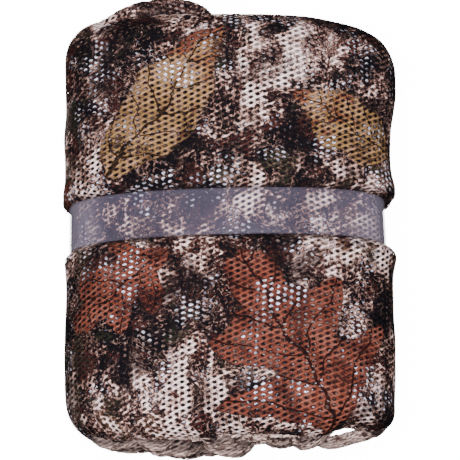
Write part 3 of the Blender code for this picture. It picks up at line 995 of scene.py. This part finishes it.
        # pale fibres that branch over the dark bark
        fibre = graph.cloud(graph.vector("ADD", warped, (0.6, 0.1, 0.0)), 0.0042, 3.0, 0.6, 0.6)
        fibre = abs(fibre - 0.5).rise(0.024, 0.008)
        patch = graph.cloud(graph.vector("ADD", warped, (0.3, 0.9, 0.0)), 0.020, 3.0, 0.6)
        bark = graph.mix(bark, self.beige, fibre * patch.rise(0.47, 0.56) * 0.75)
        warm = graph.cloud(graph.vector("ADD", warped, (0.9, 0.5, 0.0)), 0.020, 3.0, 0.6)
        bark = graph.mix(bark, self.rust_dark, warm.rise(0.44, 0.38) * tone.rise(0.60, 0.50) * 0.75)
        bark = graph.mix(bark, self.olive, warm.rise(0.58, 0.68) * 0.55)
        u, v, _ = graph.split(warped)
        ridge = graph.cloud(graph.vector("ADD", warped, (0.2, 0.4, 0.0)), 0.0075, 3.0, 0.55)
        ridge = abs(ridge - 0.5).rise(0.016, 0.003)
        colour = bark
        for leaf in self.leaves:
            colour = self._with_leaf(graph, colour, leaf, u, v, grain, ridge)
        # the print's dark blotches here and there, and painted shade where the roll turns down at its two sides
        blotch = graph.cloud(graph.vector("ADD", warped, (0.15, 0.75, 0.0)), 0.034, 4.0, 0.6)
        left = abs(u - self.left_side_u).rise(0.040, 0.022)
        right = abs(u - self.right_side_u).rise(0.040, 0.018)
        dark = (blotch * 0.6 + grain * 0.4 + left.most(right) * 0.014).rise(0.53, 0.58)
        return graph.mix(colour, graph.mix(self.black, self.olive, left * 0.6), dark * self.dark_cover)

    def _with_leaf(
        self, graph: Graph, under: Wire, leaf: PrintedLeaf, u: Wire, v: Wire, grain: Wire, ridge: Wire
    ) -> Wire:
        """Lay one leaf over a colour.

        Args:
            graph: The material's nodes.
            under: The colour below the leaf.
            leaf: Where it lies and how it is shaped.
            u: The bent place on the cloth, round the roll.
            v: The bent place on the cloth, along the roll.
            grain: The print's finest noise.
            ridge: Fine wandering lines, which become small veins.

        Returns:
            The colour with the leaf on it.
        """
        turn = math.radians(leaf.turn_deg)
        across, up = u - leaf.u, v - leaf.v
        x = (across * math.cos(turn) + up * math.sin(turn)) / leaf.length
        y = (up * math.cos(turn) - across * math.sin(turn)) / leaf.length
        side = abs(y)
        width = (1.0 - x * x).most(0.0) * (1.0 - x * 0.28) * leaf.width
        if leaf.lobed > 0.15:
            width = width * (1.0 + leaf.lobed * ((x * 9.5 - side * 5.0).cos()))
        edge = width - side + (grain - 0.5) * 0.10
        mask = edge.rise(0.0, 0.03)
        rib = (side - (1.0 - x) * 0.004).rise(0.014, 0.005)
        phase = (x * 3.2 - side * 2.7) % 1.0
        vein = abs(phase - 0.5).rise(0.052, 0.022)
        branch = (x * 6.4 + side * 8.0 + grain * 0.6) % 1.0
        branch = abs(branch - 0.5).rise(0.06, 0.02) * 0.45
        lines = rib.most(vein).most(branch).most(ridge * 0.45)
        light, dark = (self.tan, self.tan_dark) if leaf.tan else (self.rust, self.rust_dark)
        cloudy = graph.cloud(graph.combine(x * 0.8, y * 1.6, leaf.u * 40.0), 0.30, 5.0, 0.62)
        worn = (cloudy * 2.6 + grain * 1.1 - 1.42 - edge * 0.35).rise(0.10, 0.85)
        face = graph.mix(light, dark, worn)
        pale = (cloudy * -0.5 + grain + 0.02).rise(0.26, 0.36)
        if leaf.tan:
            face = graph.mix(face, self.beige, pale * 0.45)
            face = graph.mix(face, self.rust, (cloudy + x * 0.22).rise(0.52, 0.68) * 0.75)
        else:
            face = graph.mix(face, self.beige, pale * 0.16)
        face = graph.mix(face, deeper(dark, 0.22), lines * 0.95)
        face = graph.mix(face, deeper(dark, 0.35), edge.rise(0.05, 0.0) * 0.7)
        return graph.mix(under, face, mask)

    def _side_colour_and_painted_shade(self, graph: Graph, place: Wire, colour: Wire) -> Wire:
        """Change the printed colour for a side that isn't the cloth's face: paler reverse, painted shade deeper in.
        """
        if self.side is ClothSide.PRINTED:
            return colour
        zones = graph.cloud(graph.vector("ADD", place, (0.33, 0.71, 0.0)), 0.026, 4.0, 0.6)
        if self.side is ClothSide.BENEATH:
            face = graph.vector("SUBTRACT", place, self.layer_shift)
            over, _ = self._tone(graph, self._warped(graph, face))
            shown = graph.cloud(graph.vector("ADD", place, (0.5, 0.2, 0.0)), 0.0075, 2.0, 0.5).rise(0.36, 0.60)
            pale = graph.mix(colour, self.lining, shown * 0.55 + 0.38)
            # painted shade: the layer beneath is darkened towards black, with its pale lining showing in patches
            dark = graph.mix(colour, self.black, 0.72)
            return graph.mix(dark, pale, zones.rise(0.535, 0.61) * over.rise(0.60, 0.54))
        if self.side is ClothSide.REVERSE:
            # painted shade: fine dark crease lines on the reverse side
            crease = graph.cloud(graph.vector("MULTIPLY", place, (0.35, 1.8, 1.0)), 0.005, 3.0, 0.6)
            mottle = graph.cloud(graph.vector("ADD", place, (0.12, 0.44, 0.0)), 0.0080, 4.0, 0.65)
            faded = graph.mix(colour, self.inside, (zones * 0.3 + mottle * 0.7).rise(0.43, 0.50) * 0.80 + 0.15)
            faded = graph.mix(faded, self.brown, mottle.rise(0.47, 0.42) * 0.75)
            return graph.mix(faded, self.brown, crease.rise(0.44, 0.36) * 0.75)
        if self.side is ClothSide.INNER_PALE:
            # painted shade: the inner layer of a pale fold is darkened towards umber
            return graph.mix(graph.mix(colour, self.umber, 0.6), self.inside, zones.rise(0.42, 0.55) * 0.30 + 0.05)
        # painted shade: the deep turns and the inner layer of a printed fold are darkened towards black
        return graph.mix(colour, self.black, 0.72)


@dataclass(frozen=True)
class ClearFilmFinish:
    """Thin frosted plastic film: the print shows through a blue-grey veil, with a painted sheen at the roll's two
    sides.
    """

    colour: tuple = ink(0.150, 0.129, 0.184)
    pale: tuple = ink(0.210, 0.180, 0.200)
    veil: float = 0.120
    side_veil: float = 0.38
    side_sheen_from: float = 0.070
    side_sheen_to: float = 0.094
    roughness: float = 0.34
    specular: float = 0.35

    def material(self) -> bpy.types.Material:
        """Build the material."""
        made = bpy.data.materials.new("clear_film")
        made.use_nodes = True
        graph = Graph(made.node_tree)
        shader = made.node_tree.nodes["Principled BSDF"]
        place = graph.add("ShaderNodeUVMap", {"uv_map": "cloth"})
        _, across, _ = graph.split(place)
        cloudy = graph.cloud(place, 0.040, 4.0, 0.55)
        scuffs = graph.cloud(graph.vector("MULTIPLY", place, (1.0, 6.0, 1.0)), 0.004, 2.0, 0.5)
        x, _, z = graph.split(graph.add("ShaderNodeTexCoord", out="Object"))
        # painted highlight: a faint lighter, more opaque line along the band's two edges
        edge = abs(across).rise(0.0122, 0.0142)
        streaks = graph.cloud(graph.vector("MULTIPLY", place, (1.0, 0.12, 1.0)), 0.0016, 2.0, 0.6)
        # painted sheen: lighter and more opaque towards the roll's two sides, as the film looks where seen edge-on
        painted_side_sheen = abs(x).rise(self.side_sheen_from, self.side_sheen_to) * (z.rise(0.020, 0.055) * 0.65 + 0.35)
        alpha = self.veil + (cloudy - 0.5) * 0.22 + painted_side_sheen * (self.side_veil - self.veil) + edge * 0.04
        alpha = alpha + painted_side_sheen * (streaks - 0.5) * 0.6
        made.node_tree.links.new(alpha.socket, shader.inputs["Alpha"])
        tint = graph.mix(self.colour, self.pale, edge * 0.15 + (cloudy - 0.45) * 1.2 + painted_side_sheen * streaks)
        made.node_tree.links.new(tint.socket, shader.inputs["Base Color"])
        rough = self.roughness + (scuffs - 0.5) * 0.15
        made.node_tree.links.new(rough.socket, shader.inputs["Roughness"])
        shader.inputs["Specular IOR Level"].default_value = self.specular
        bump = graph.add("ShaderNodeBump", None, {"Strength": 0.2, "Distance": 0.0004, "Height": cloudy})
        made.node_tree.links.new(bump.socket, shader.inputs["Normal"])
        return made


# ------------------------------------------------------------------------------------------------ sub-assemblies


def report(piece: bpy.types.Object) -> None:
    """Log a piece's name and size."""
    LOG.info("%s: %d faces", piece.name, len(piece.data.polygons))


def as_cloth(piece: bpy.types.Object) -> None:
    """Attach a piece of the net's folded cloth to the roll, and log its size.

    Args:
        piece: The perforated piece.
    """
    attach(piece, "root")
    report(piece)


@dataclass
class OuterWrap:
    """The roll's outermost turn of cloth, with the layer that shows through its holes."""

    form: RollForm
    mesh: Perforation
    beneath_inset: float = 0.0006
    beneath_slant_deg: float = 8.0
    hem: float = 0.0110
    hem_rise: float = 0.0008

    def build(self) -> list[bpy.types.Object]:
        """Make the wrap with its hem, and the layer beneath it."""
        patch = self.form.wrap()
        patches = [patch, self._hem(patch)]
        wrap = self.mesh.cut("outer_wrap", patches, PrintedNetFinish(ClothSide.PRINTED).material())
        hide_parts("net_roll")
        as_cloth(wrap)
        patch = self.form.wrap(inset=self.beneath_inset, turn_in=False, past=0.0)
        beneath = self.mesh.cut(
            "layer_beneath", [patch], PrintedNetFinish(ClothSide.BENEATH).material(), self.beneath_slant_deg
        )
        as_cloth(beneath)
        return [wrap, beneath]

    def _hem(self, wrap: Patch) -> Patch:
        """Return the hem, the strip that is turned over along the wrap's loose end."""
        count = int(round(self.hem / (self.form.girth() / self.form.columns))) + 1
        share = np.linspace(0.0, 1.0, count)
        rise = self.hem_rise * np.sqrt(np.clip(1.0 - (2.0 * share - 1.0) ** 6, 0.0, 1.0))
        points = wrap.points[:, :count] + wrap.lift[:, :count] * rise[None, :, None]
        # painted shade along both edges of the turned-over hem
        painted_shade = np.broadcast_to(0.8 * bell((1.0 - share) / 0.16) + 0.6 * bell(share / 0.12), points.shape[:2])
        flat = wrap.flat[:, :count] + np.array([0.53, 0.0])
        return Patch(points, flat, wrap.lift[:, :count], painted_shade)


@dataclass
class InnerTurns:
    """The turns of cloth deeper in, closed at both ends, which are only seen through holes and between folds."""

    form: RollForm
    inset: float = 0.0012
    fold_inset: float = 0.0003
    rings: int = 12

    def build(self, pale: list[Patch], printed: list[Patch]) -> bpy.types.Object:
        """Make the closed inner body, and the inner layers of the slack folds.

        Args:
            pale: The forms of the folds that show the cloth's reverse side.
            printed: The forms of the folds that show its printed face.

        Returns:
            The inner body.
        """
        patch = self.form.wrap(inset=self.inset, turn_in=False, past=0.0)
        points = patch.points
        rows = [self._end(self.form.foot, depth) for depth in self._depths()[::-1]]
        rows += list(points)
        rows += [self._end(self.form.head, depth) for depth in self._depths()]
        grid = np.stack(rows)
        grid[:, -1] = grid[:, 0]
        run = measured(grid, 0)
        flat = np.stack([np.broadcast_to(self.form.angles(self.form.columns)[1], run.shape), run], axis=-1)
        patches = [make_patch(grid, flat, -1)]
        patches += [
            Patch(fold.points - fold.lift * self.fold_inset, fold.flat, fold.lift, fold.painted_shade)
            for fold in pale + printed
        ]
        made = form_object("inner_turns", patches)
        for side in (ClothSide.DEEP, ClothSide.INNER_PALE, ClothSide.INNER_PRINTED):
            made.data.materials.append(PrintedNetFinish(side).material())
        faces = [(fold.points.shape[0] - 1) * (fold.points.shape[1] - 1) for fold in patches]
        slots = [0, *[1] * len(pale), *[2] * len(printed)]
        made.data.polygons.foreach_set("material_index", np.repeat(slots, faces).astype(np.int32))
        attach(made, "root")
        report(made)
        return made

    def _depths(self) -> np.ndarray:
        """Return the depths of the rings that close an end."""
        return np.linspace(0.003, 0.0425, self.rings)

    def _end(self, end: EndShape, depth: float) -> np.ndarray:
        """Return one ring of an end's ground."""
        angle, _ = self.form.angles(self.form.columns)
        x, z = self.form.end_point(end, angle, np.full(angle.shape, depth))
        y = np.full(angle.shape, end.y - end.facing * 0.0075)
        return self.form.settle(np.stack([x, y, np.maximum(z, 0.003)], axis=-1))


@dataclass
class EndEdges:
    """The folded edges of the turns, which wind in as a spiral at one end of the roll."""

    form: RollForm
    mesh: Perforation
    end: EndShape
    name: str
    turns: float = 4.9
    per_turn: int = 3
    leg: float = 0.0042
    radius: float = 0.00105
    stand_out: float = -0.0032  # below 0: the edges lie a little inside the wrap's own
    ruffle: float = 0.0013
    wander: float = 0.0008
    columns: int = 240
    strip_apart: float = 0.0165  # from one folded edge to the next, on the flat cloth
    seed: float = 0.0

    def build(self) -> bpy.types.Object:
        """Make all the folded edges of this end as one piece of cloth."""
        patches = []
        for layer in range(self.per_turn):
            first = (layer + 0.6) / self.per_turn
            whole = self.turns - first
            pieces = int(math.ceil(whole))
            for part in range(pieces):
                begin = first + part
                patches.append(self._ribbon(begin, min(begin + 1.0, self.turns), layer, len(patches)))
        piece = self.mesh.cut(self.name, patches, PrintedNetFinish(ClothSide.REVERSE).material(), 12.0)
        as_cloth(piece)
        return piece

    def _ribbon(self, begin: float, finish: float, layer: int, place: int) -> Patch:
        """Build one turn of one folded edge."""
        angle, run = self.form.angles(self.columns)
        share = np.linspace(0.0, 1.0, self.columns)
        turns_in = begin + (finish - begin) * share
        wound = np.interp(np.mod(turns_in, 1.0) * run[-1], run, angle)
        x, z = self.form.end_point(self.end, wound, turns_in * self.form.turn)
        travel = turns_in * run[-1]
        shift = self.wander * ripple(travel, 0 * travel, 0.022, 50.0 + self.seed + layer)
        tall = self.stand_out + self.ruffle * ripple(travel, 0 * travel, 0.019, 60.0 + self.seed + 3.0 * layer)
        tall += 0.0010 * ripple(travel, 0 * travel, 0.007, 80.0 + self.seed + layer)
        tall += self.end.setback * eased(turns_in / 1.5) - self.end.setback
        path = np.stack([x, z], axis=1)
        forward = np.gradient(path, axis=0)
        forward /= np.maximum(np.linalg.norm(forward, axis=1, keepdims=True), 1e-9)
        outward = np.stack([forward[:, 1], -forward[:, 0]], axis=1)
        turn = np.linspace(0.0, math.pi, 7)
        radial = np.concatenate([[self.radius * 1.2] * 3, self.radius * np.cos(turn[1:-1]), [-self.radius * 1.2] * 3])
        axial = np.concatenate([[-self.leg, -self.leg * 0.6, -self.leg * 0.2], self.radius * np.sin(turn[1:-1])])
        axial = np.concatenate([axial, [-self.leg * 0.2, -self.leg * 0.6, -self.leg]])
        loose = 1.0 + 0.5 * ripple(travel, 0 * travel, 0.030, 90.0 + self.seed + layer)
        grid = np.zeros((len(radial), len(share), 3))
        for i, (away, up) in enumerate(zip(radial, axial)):
            across = path + outward * (shift + away * loose)[:, None]
            y = self.end.y + self.end.facing * (tall + up)
            grid[i] = np.stack([across[:, 0], y, np.maximum(across[:, 1], 0.0012)], axis=1)
        grid = self.form.settle(grid)
        length = measured(grid, 1)[len(radial) // 2]
        width = measured(grid, 0)[:, len(share) // 2]
        side = width[:, None] + self.strip_apart * place - 0.4
        flat = np.stack(np.broadcast_arrays(length[None, :], side), axis=-1)
        return make_patch(grid, flat, -self.end.facing)


@dataclass(frozen=True)
class SlackFold:
    """One slack fold of the foot: where it is, how far it stands out and how it is creased."""

    x: float
    half_width: float
    stand: float
    mid_z: float
    half_height: float
    crease_deg: float
    crease: float
    tilt: float = 0.0
    # painted shade starts this far up the fold's face
    tucked_deg: float = 12.0  # how far up its face it goes under the next fold or the wrap


@dataclass
class FootFolds:
    """The slack folds of the inner turns that bulge out of the foot from under the outer wrap, one over another."""

    form: RollForm
    mesh: Perforation
    root_y: float = -0.1330
    folds: tuple[SlackFold, ...] = (
        SlackFold(-0.0680, 0.0150, 0.0046, 0.055, 0.0100, 28.0, 0.0010, 0.25, 24.0),
        SlackFold(-0.0620, 0.0190, 0.0064, 0.046, 0.0110, 20.0, 0.0011, 0.15),
        SlackFold(-0.0560, 0.0205, 0.0070, 0.036, 0.0120, 14.0, 0.0009, 0.08),
        SlackFold(-0.0440, 0.0125, 0.0070, 0.063, 0.0095, -34.0, 0.0009, -0.10, 26.0),
        SlackFold(-0.0340, 0.0205, 0.0098, 0.054, 0.0115, -26.0, 0.0013, -0.20, 22.0),
        SlackFold(-0.0275, 0.0220, 0.0106, 0.041, 0.0130, -16.0, 0.0010, -0.10),
        SlackFold(-0.0115, 0.0120, 0.0090, 0.039, 0.0120, 20.0, 0.0009, 0.00),
        SlackFold(-0.0050, 0.0130, 0.0066, 0.066, 0.0095, 32.0, 0.0009, 0.14, 26.0),
        SlackFold(-0.0005, 0.0170, 0.0090, 0.056, 0.0110, 22.0, 0.0012, 0.06, 22.0),
        SlackFold(0.0010, 0.0155, 0.0096, 0.043, 0.0115, 8.0, 0.0009, 0.00),
        SlackFold(0.0300, 0.0110, 0.0030, 0.062, 0.0105, 42.0, 0.0009, -0.15, 28.0),
        SlackFold(0.0300, 0.0120, 0.0040, 0.050, 0.0125, 34.0, 0.0011, -0.10),
        SlackFold(0.0480, 0.0115, 0.0054, 0.061, 0.0105, 50.0, 0.0012, 0.22, 30.0),
        SlackFold(0.0465, 0.0120, 0.0056, 0.048, 0.0125, 44.0, 0.0010, 0.10),
        SlackFold(0.0825, 0.0100, 0.0036, 0.049, 0.0105, -34.0, 0.0011, -0.35, 30.0),
        SlackFold(0.0815, 0.0105, 0.0030, 0.039, 0.0115, -26.0, 0.0010, -0.25),
    )

    def patches(self) -> list[Patch]:
        """Return the folds' forms."""
        return [self._fold(fold, i) for i, fold in enumerate(self.folds)]

    def build(self) -> bpy.types.Object:
        """Make the folds as one piece of cloth."""
        patches = self.patches()
        piece = self.mesh.cut("foot_folds", patches, PrintedNetFinish(ClothSide.REVERSE).material(), -14.0)
        as_cloth(piece)
        return piece

    def _fold(self, fold: SlackFold, place: int) -> Patch:
        """Build one fold, from under the wrap out and back in below."""
        across = np.linspace(-1.0, 1.0, 45)[None, :]
        around = np.linspace(math.radians(118.0), math.radians(-112.0), 33)[:, None]
        bulk = np.maximum(0.0, 1.0 - np.abs(across) ** 2.4) ** 0.55
        x = fold.x + fold.half_width * across * (1.0 + 0.05 * np.sin(around))
        stand = fold.stand * bulk * (1.0 + 0.10 * ripple(x, around * 0.01, 0.014, 5.0 * place))
        turn = math.radians(fold.crease_deg)
        wave = math.cos(turn) * around * 0.010 + math.sin(turn) * x
        wave = wave + 0.0016 * ripple(x, around * 0.010, 0.011, 3.0 + place)
        ridge = np.abs(np.sin(wave / 0.00145 + 1.7 * place))
        out = stand * np.cos(around) + fold.crease * (ridge - 0.7) * np.cos(around).clip(0.0, 1.0) * bulk
        # painted shade in crease valleys, high on the face where it goes under, low on the underside and at the sides
        above = 0.80 * eased((around - math.radians(fold.tucked_deg)) / math.radians(24.0))
        below = 0.7 * eased((math.radians(-25.0) - around) / math.radians(50.0))
        painted_shade = 0.95 * (1.0 - ridge) ** 3.0 + above + below + (1.0 - bulk) ** 2
        y = self.root_y - out + 0.0050 * (1.0 - bulk)
        high = fold.half_height * (0.78 + 0.22 * bulk)
        z = fold.mid_z + fold.tilt * (x - fold.x) + high * np.sin(around)
        grid = self.form.settle(np.stack(np.broadcast_arrays(x, y, z), axis=-1))
        long = measured(grid, 1)
        wide = measured(grid, 0)
        flat = np.stack([long + 0.5 + 0.09 * place, wide + 0.060 * place + 1.0], axis=-1)
        return make_patch(grid, flat, -1, painted_shade)


@dataclass
class FootLoop:
    """The slack fold on the right of the foot that hangs clear as a loop."""

    form: RollForm
    mesh: Perforation
    points: tuple = (
        (0.046, -0.1170), (0.049, -0.1272), (0.0575, -0.1318), (0.0665, -0.1308), (0.0740, -0.1284),
        (0.0820, -0.1262), (0.0885, -0.1215), (0.0895, -0.1110),
    )
    section: tuple = (
        (-0.0022, 0.0550), (-0.0006, 0.0525), (0.0009, 0.0478), (0.0017, 0.0420), (0.0014, 0.0372),
        (0.0004, 0.0352), (-0.0007, 0.0372), (-0.0013, 0.0430), (-0.0020, 0.0490), (-0.0029, 0.0532),
        (-0.0030, 0.0548),
    )

    def patches(self) -> list[Patch]:
        """Return the loop's form, a folded strip that leans back at its top."""
        line = smooth_line(np.array(self.points), 60)
        forward = np.gradient(line, axis=0)
        forward /= np.linalg.norm(forward, axis=1, keepdims=True)
        outward = np.stack([forward[:, 1], -forward[:, 0]], axis=1)
        ring = smooth_line(np.array(self.section), 34)
        grid = np.zeros((len(ring), len(line), 3))
        sag = 0.0009 * ripple(line[:, 0], 0 * line[:, 0], 0.012, 8.0)
        for i, (away, height) in enumerate(ring):
            across = line + outward * away
            grid[i] = np.stack([across[:, 0], across[:, 1], height + sag], axis=1)
        grid -= np.array([*self.form.origin, 0.0])
        flat = np.stack([measured(grid, 1) + 0.5, measured(grid, 0) + 2.0], axis=-1)
        return [make_patch(grid, flat, -1)]

    def build(self) -> bpy.types.Object:
        """Make the loop as one folded strip."""
        patches = self.patches()
        piece = self.mesh.cut("foot_loop", patches, PrintedNetFinish(ClothSide.REVERSE).material(), 5.0)
        as_cloth(piece)
        return piece


def smooth_line(points: np.ndarray, count: int) -> np.ndarray:
    """Return evenly spaced points on a smooth curve through some points.

    Args:
        points: The points to pass through.
        count: How many to return.

    Returns:
        An array of count points.
    """
    padded = np.concatenate([[2 * points[0] - points[1]], points, [2 * points[-1] - points[-2]]])
    fine = []
    for before, start, end, after in zip(padded, padded[1:], padded[2:], padded[3:]):
        for t in np.linspace(0.0, 1.0, 20, endpoint=False):
            fine.append(
                0.5 * (2 * start + (end - before) * t + (2 * before - 5 * start + 4 * end - after) * t**2
                       + (3 * start - before - 3 * end + after) * t**3)
            )
    fine = np.array([*fine, points[-1]])
    run = np.concatenate([[0.0], np.cumsum(np.linalg.norm(np.diff(fine, axis=0), axis=1))])
    wanted = np.linspace(0.0, run[-1], count)
    return np.stack([np.interp(wanted, run, fine[:, k]) for k in range(fine.shape[1])], axis=1)


@dataclass
class HeadFold:
    """The folded edge of the second layer, which stands up out of the head left of the middle."""

    form: RollForm
    mesh: Perforation
    edge: tuple = (
        (-0.0900, 0.1155), (-0.0740, 0.1245), (-0.0600, 0.1315), (-0.0470, 0.1342), (-0.0380, 0.1350),
        (-0.0240, 0.1342), (-0.0160, 0.1318), (-0.0110, 0.1286),
    )
    top_z: float = 0.0700
    radius: float = 0.0019

    def patches(self) -> list[Patch]:
        """Return the folded edge's form."""
        line = smooth_line(np.array(self.edge), 70)
        turn = np.linspace(0.0, math.pi, 9)[1:-1]
        up = [(-0.022, 0.0075), (-0.016, 0.0060), (-0.010, 0.0042), (-0.005, 0.0028), (-0.002, 0.0021)]
        section = [*up, *((self.radius * math.sin(t), self.radius * math.cos(t)) for t in turn)]
        section += [(-0.003, -0.0022), (-0.008, -0.0034), (-0.014, -0.0046)]
        grid = np.zeros((len(section), len(line), 3))
        x = line[:, 0]
        low = -0.0035 * eased((-x - 0.060) / 0.030)
        tip = eased((-0.0095 - x) / 0.012)
        for i, (out, height) in enumerate(section):
            lean = 0.0006 * ripple(x, 0 * x + out, 0.013, 4.0)
            z = self.top_z + height * (0.25 + 0.75 * tip) + low + lean - 0.10 * np.abs(x + 0.045)
            grid[i] = np.stack([x, line[:, 1] + out * (0.35 + 0.65 * tip), z], axis=1)
        grid = self.form.settle(grid)
        flat = np.stack([measured(grid, 1) + 0.5, measured(grid, 0) + 3.0], axis=-1)
        # painted shade on the back of the folded edge, behind the front layer
        back = np.array([-out for out, _ in section])[:, None]
        painted_shade = 0.95 * eased((back - 0.0052) / 0.0036)
        return [make_patch(grid, flat, 1, painted_shade)]

    def build(self) -> bpy.types.Object:
        """Make the folded edge."""
        patches = self.patches()
        piece = self.mesh.cut("head_fold", patches, PrintedNetFinish(ClothSide.PRINTED).material(), 10.0)
        as_cloth(piece)
        return piece


@dataclass
class ClearBand:
    """The clear film band that sits in the roll's waist."""

    form: RollForm
    gap: float = 0.0005
    thickness: float = 0.0005

    def build(self) -> bpy.types.Object:
        """Make the band as one closed strip."""
        angle, run = self.form.angles(self.form.columns)
        edge = self.form.band_width / 2.0
        places = [(y, self.thickness) for y in np.linspace(-edge, edge, 13)]
        places += [(y, 0.0) for y in np.linspace(edge, -edge, 13)]
        places.append(places[0])
        rows = [self._ring(angle, run, y, out) for y, out in places]
        grid = np.stack(rows)
        grid[:, -1] = grid[:, 0]
        across = np.array([y for y, _ in places])
        flat = np.stack(np.broadcast_arrays(run[None, :], across[:, None]), axis=-1)
        made = form_object("clear_band", [make_patch(grid, flat, -1)])
        weld(made)
        made.data.materials.append(ClearFilmFinish().material())
        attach(made, "root")
        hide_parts("band")
        report(made)
        return made

    def _ring(self, angle: np.ndarray, run: np.ndarray, y: float, wall: float) -> np.ndarray:
        """Return one ring of the band; wall is 0 on its inner face."""
        place = np.full(angle.shape, y)
        across = np.where(np.cos(angle) >= 0, self.form.reach("right", place), self.form.reach("left", place))
        upright = np.where(np.sin(angle) >= 0, self.form.reach("top", place), self.form.reach("under", place))
        waist_across, waist_upright = self.form.by_side(angle, self.form.waist_depth)
        step = self.form.loose_end_step * 0.25 * (1.0 - run / self.form.girth())
        out = self.gap + wall + step + 0.0005
        x, z = self.form.outline(angle, across - waist_across + out, upright - waist_upright + out)
        lowest = 0.0002 + self.thickness - wall
        return self.form.settle(np.stack([x, place, np.maximum(z, lowest)], axis=-1))


def weld(piece: bpy.types.Object) -> None:
    """Merge a piece's doubled points and face it outwards."""
    mesh = bmesh.new()
    mesh.from_mesh(piece.data)
    bmesh.ops.remove_doubles(mesh, verts=mesh.verts, dist=1e-6)
    bmesh.ops.recalc_face_normals(mesh, faces=mesh.faces)
    mesh.to_mesh(piece.data)
    mesh.free()
    piece.data.shade_smooth()


# -------------------------------------------------------------------------------------------------------- studio


@dataclass
class Studio:
    """A pale floor, soft light and the camera."""

    target: tuple[float, float, float] = (-0.0002, 0.0036, 0.0450)
    elevation_deg: float = 75.0
    lens: float = 400.0
    field_width: float = 0.276
    daylight: tuple[float, float, float] = (1.0, 1.0, 1.13)
    surrounding_light: float = 0.38
    floor_glow: float = 14.0
    floor_half: float = 6.0

    def build(self) -> None:
        """Add the floor, the lights, the world and the camera."""
        self._floor()
        self._light("key", (-0.22, -0.30, 1.45), 0.9, 54.0)
        self._light("fill", (0.80, 0.25, 1.05), 1.0, 9.0)
        world = bpy.data.worlds.new("studio")
        bpy.context.scene.world = world
        world.use_nodes = True
        world.node_tree.nodes["Background"].inputs["Color"].default_value = (*self.daylight, 1.0)
        world.node_tree.nodes["Background"].inputs["Strength"].default_value = self.surrounding_light
        self._camera()

    def _floor(self) -> None:
        """Add the pale floor."""
        mesh = bpy.data.meshes.new("floor")
        half = self.floor_half
        mesh.from_pydata([(-half, -half, 0), (half, -half, 0), (half, half, 0), (-half, half, 0)], [], [(0, 1, 2, 3)])
        floor = bpy.data.objects.new("floor", mesh)
        bpy.context.scene.collection.objects.link(floor)
        made = bpy.data.materials.new("pale_floor")
        made.use_nodes = True
        shader = made.node_tree.nodes["Principled BSDF"]
        shader.inputs["Base Color"].default_value = (0.92, 0.92, 0.92, 1.0)
        shader.inputs["Roughness"].default_value = 0.9
        shader.inputs["Emission Color"].default_value = (1.0, 1.0, 1.0, 1.0)
        shader.inputs["Emission Strength"].default_value = self.floor_glow
        mesh.materials.append(made)
        floor.visible_diffuse = False
        floor.visible_glossy = False

    def _light(self, name: str, place: tuple[float, float, float], size: float, power: float) -> None:
        """Add a soft square light that faces the roll."""
        data = bpy.data.lights.new(name, "AREA")
        data.shape = "SQUARE"
        data.size = size
        data.energy = power
        data.color = self.daylight
        light = bpy.data.objects.new(name, data)
        light.location = place
        light.rotation_mode = "QUATERNION"
        light.rotation_quaternion = (Vector(self.target) - Vector(place)).to_track_quat("-Z", "Y")
        bpy.context.scene.collection.objects.link(light)

    def _camera(self) -> None:
        """Add the camera at the photograph's angle."""
        data = bpy.data.cameras.new("camera")
        data.lens = self.lens
        data.sensor_width = 36.0
        camera = bpy.data.objects.new("camera", data)
        up = math.radians(self.elevation_deg)
        back = Vector((0.0, -math.cos(up), math.sin(up)))
        camera.location = Vector(self.target) + back * (self.field_width * self.lens / 36.0)
        camera.rotation_mode = "QUATERNION"
        camera.rotation_quaternion = (-back).to_track_quat("-Z", "Y")
        bpy.context.scene.collection.objects.link(camera)
        bpy.context.scene.camera = camera


def main() -> None:
    """Build every sub-assembly in order, then the studio."""
    logging.basicConfig(level=logging.INFO, format="%(message)s")
    form = RollForm()
    mesh = Perforation()
    OuterWrap(form, mesh).build()
    folds, loop, lip = FootFolds(form, mesh), FootLoop(form, mesh), HeadFold(form, mesh)
    InnerTurns(form).build(folds.patches() + loop.patches(), lip.patches())
    EndEdges(form, mesh, form.foot, "foot_edges", seed=1.0).build()
    EndEdges(form, mesh, form.head, "head_edges", seed=5.0).build()
    folds.build()
    loop.build()
    lip.build()
    ClearBand(form).build()
    Studio().build()


if __name__ == "__main__":
    main()
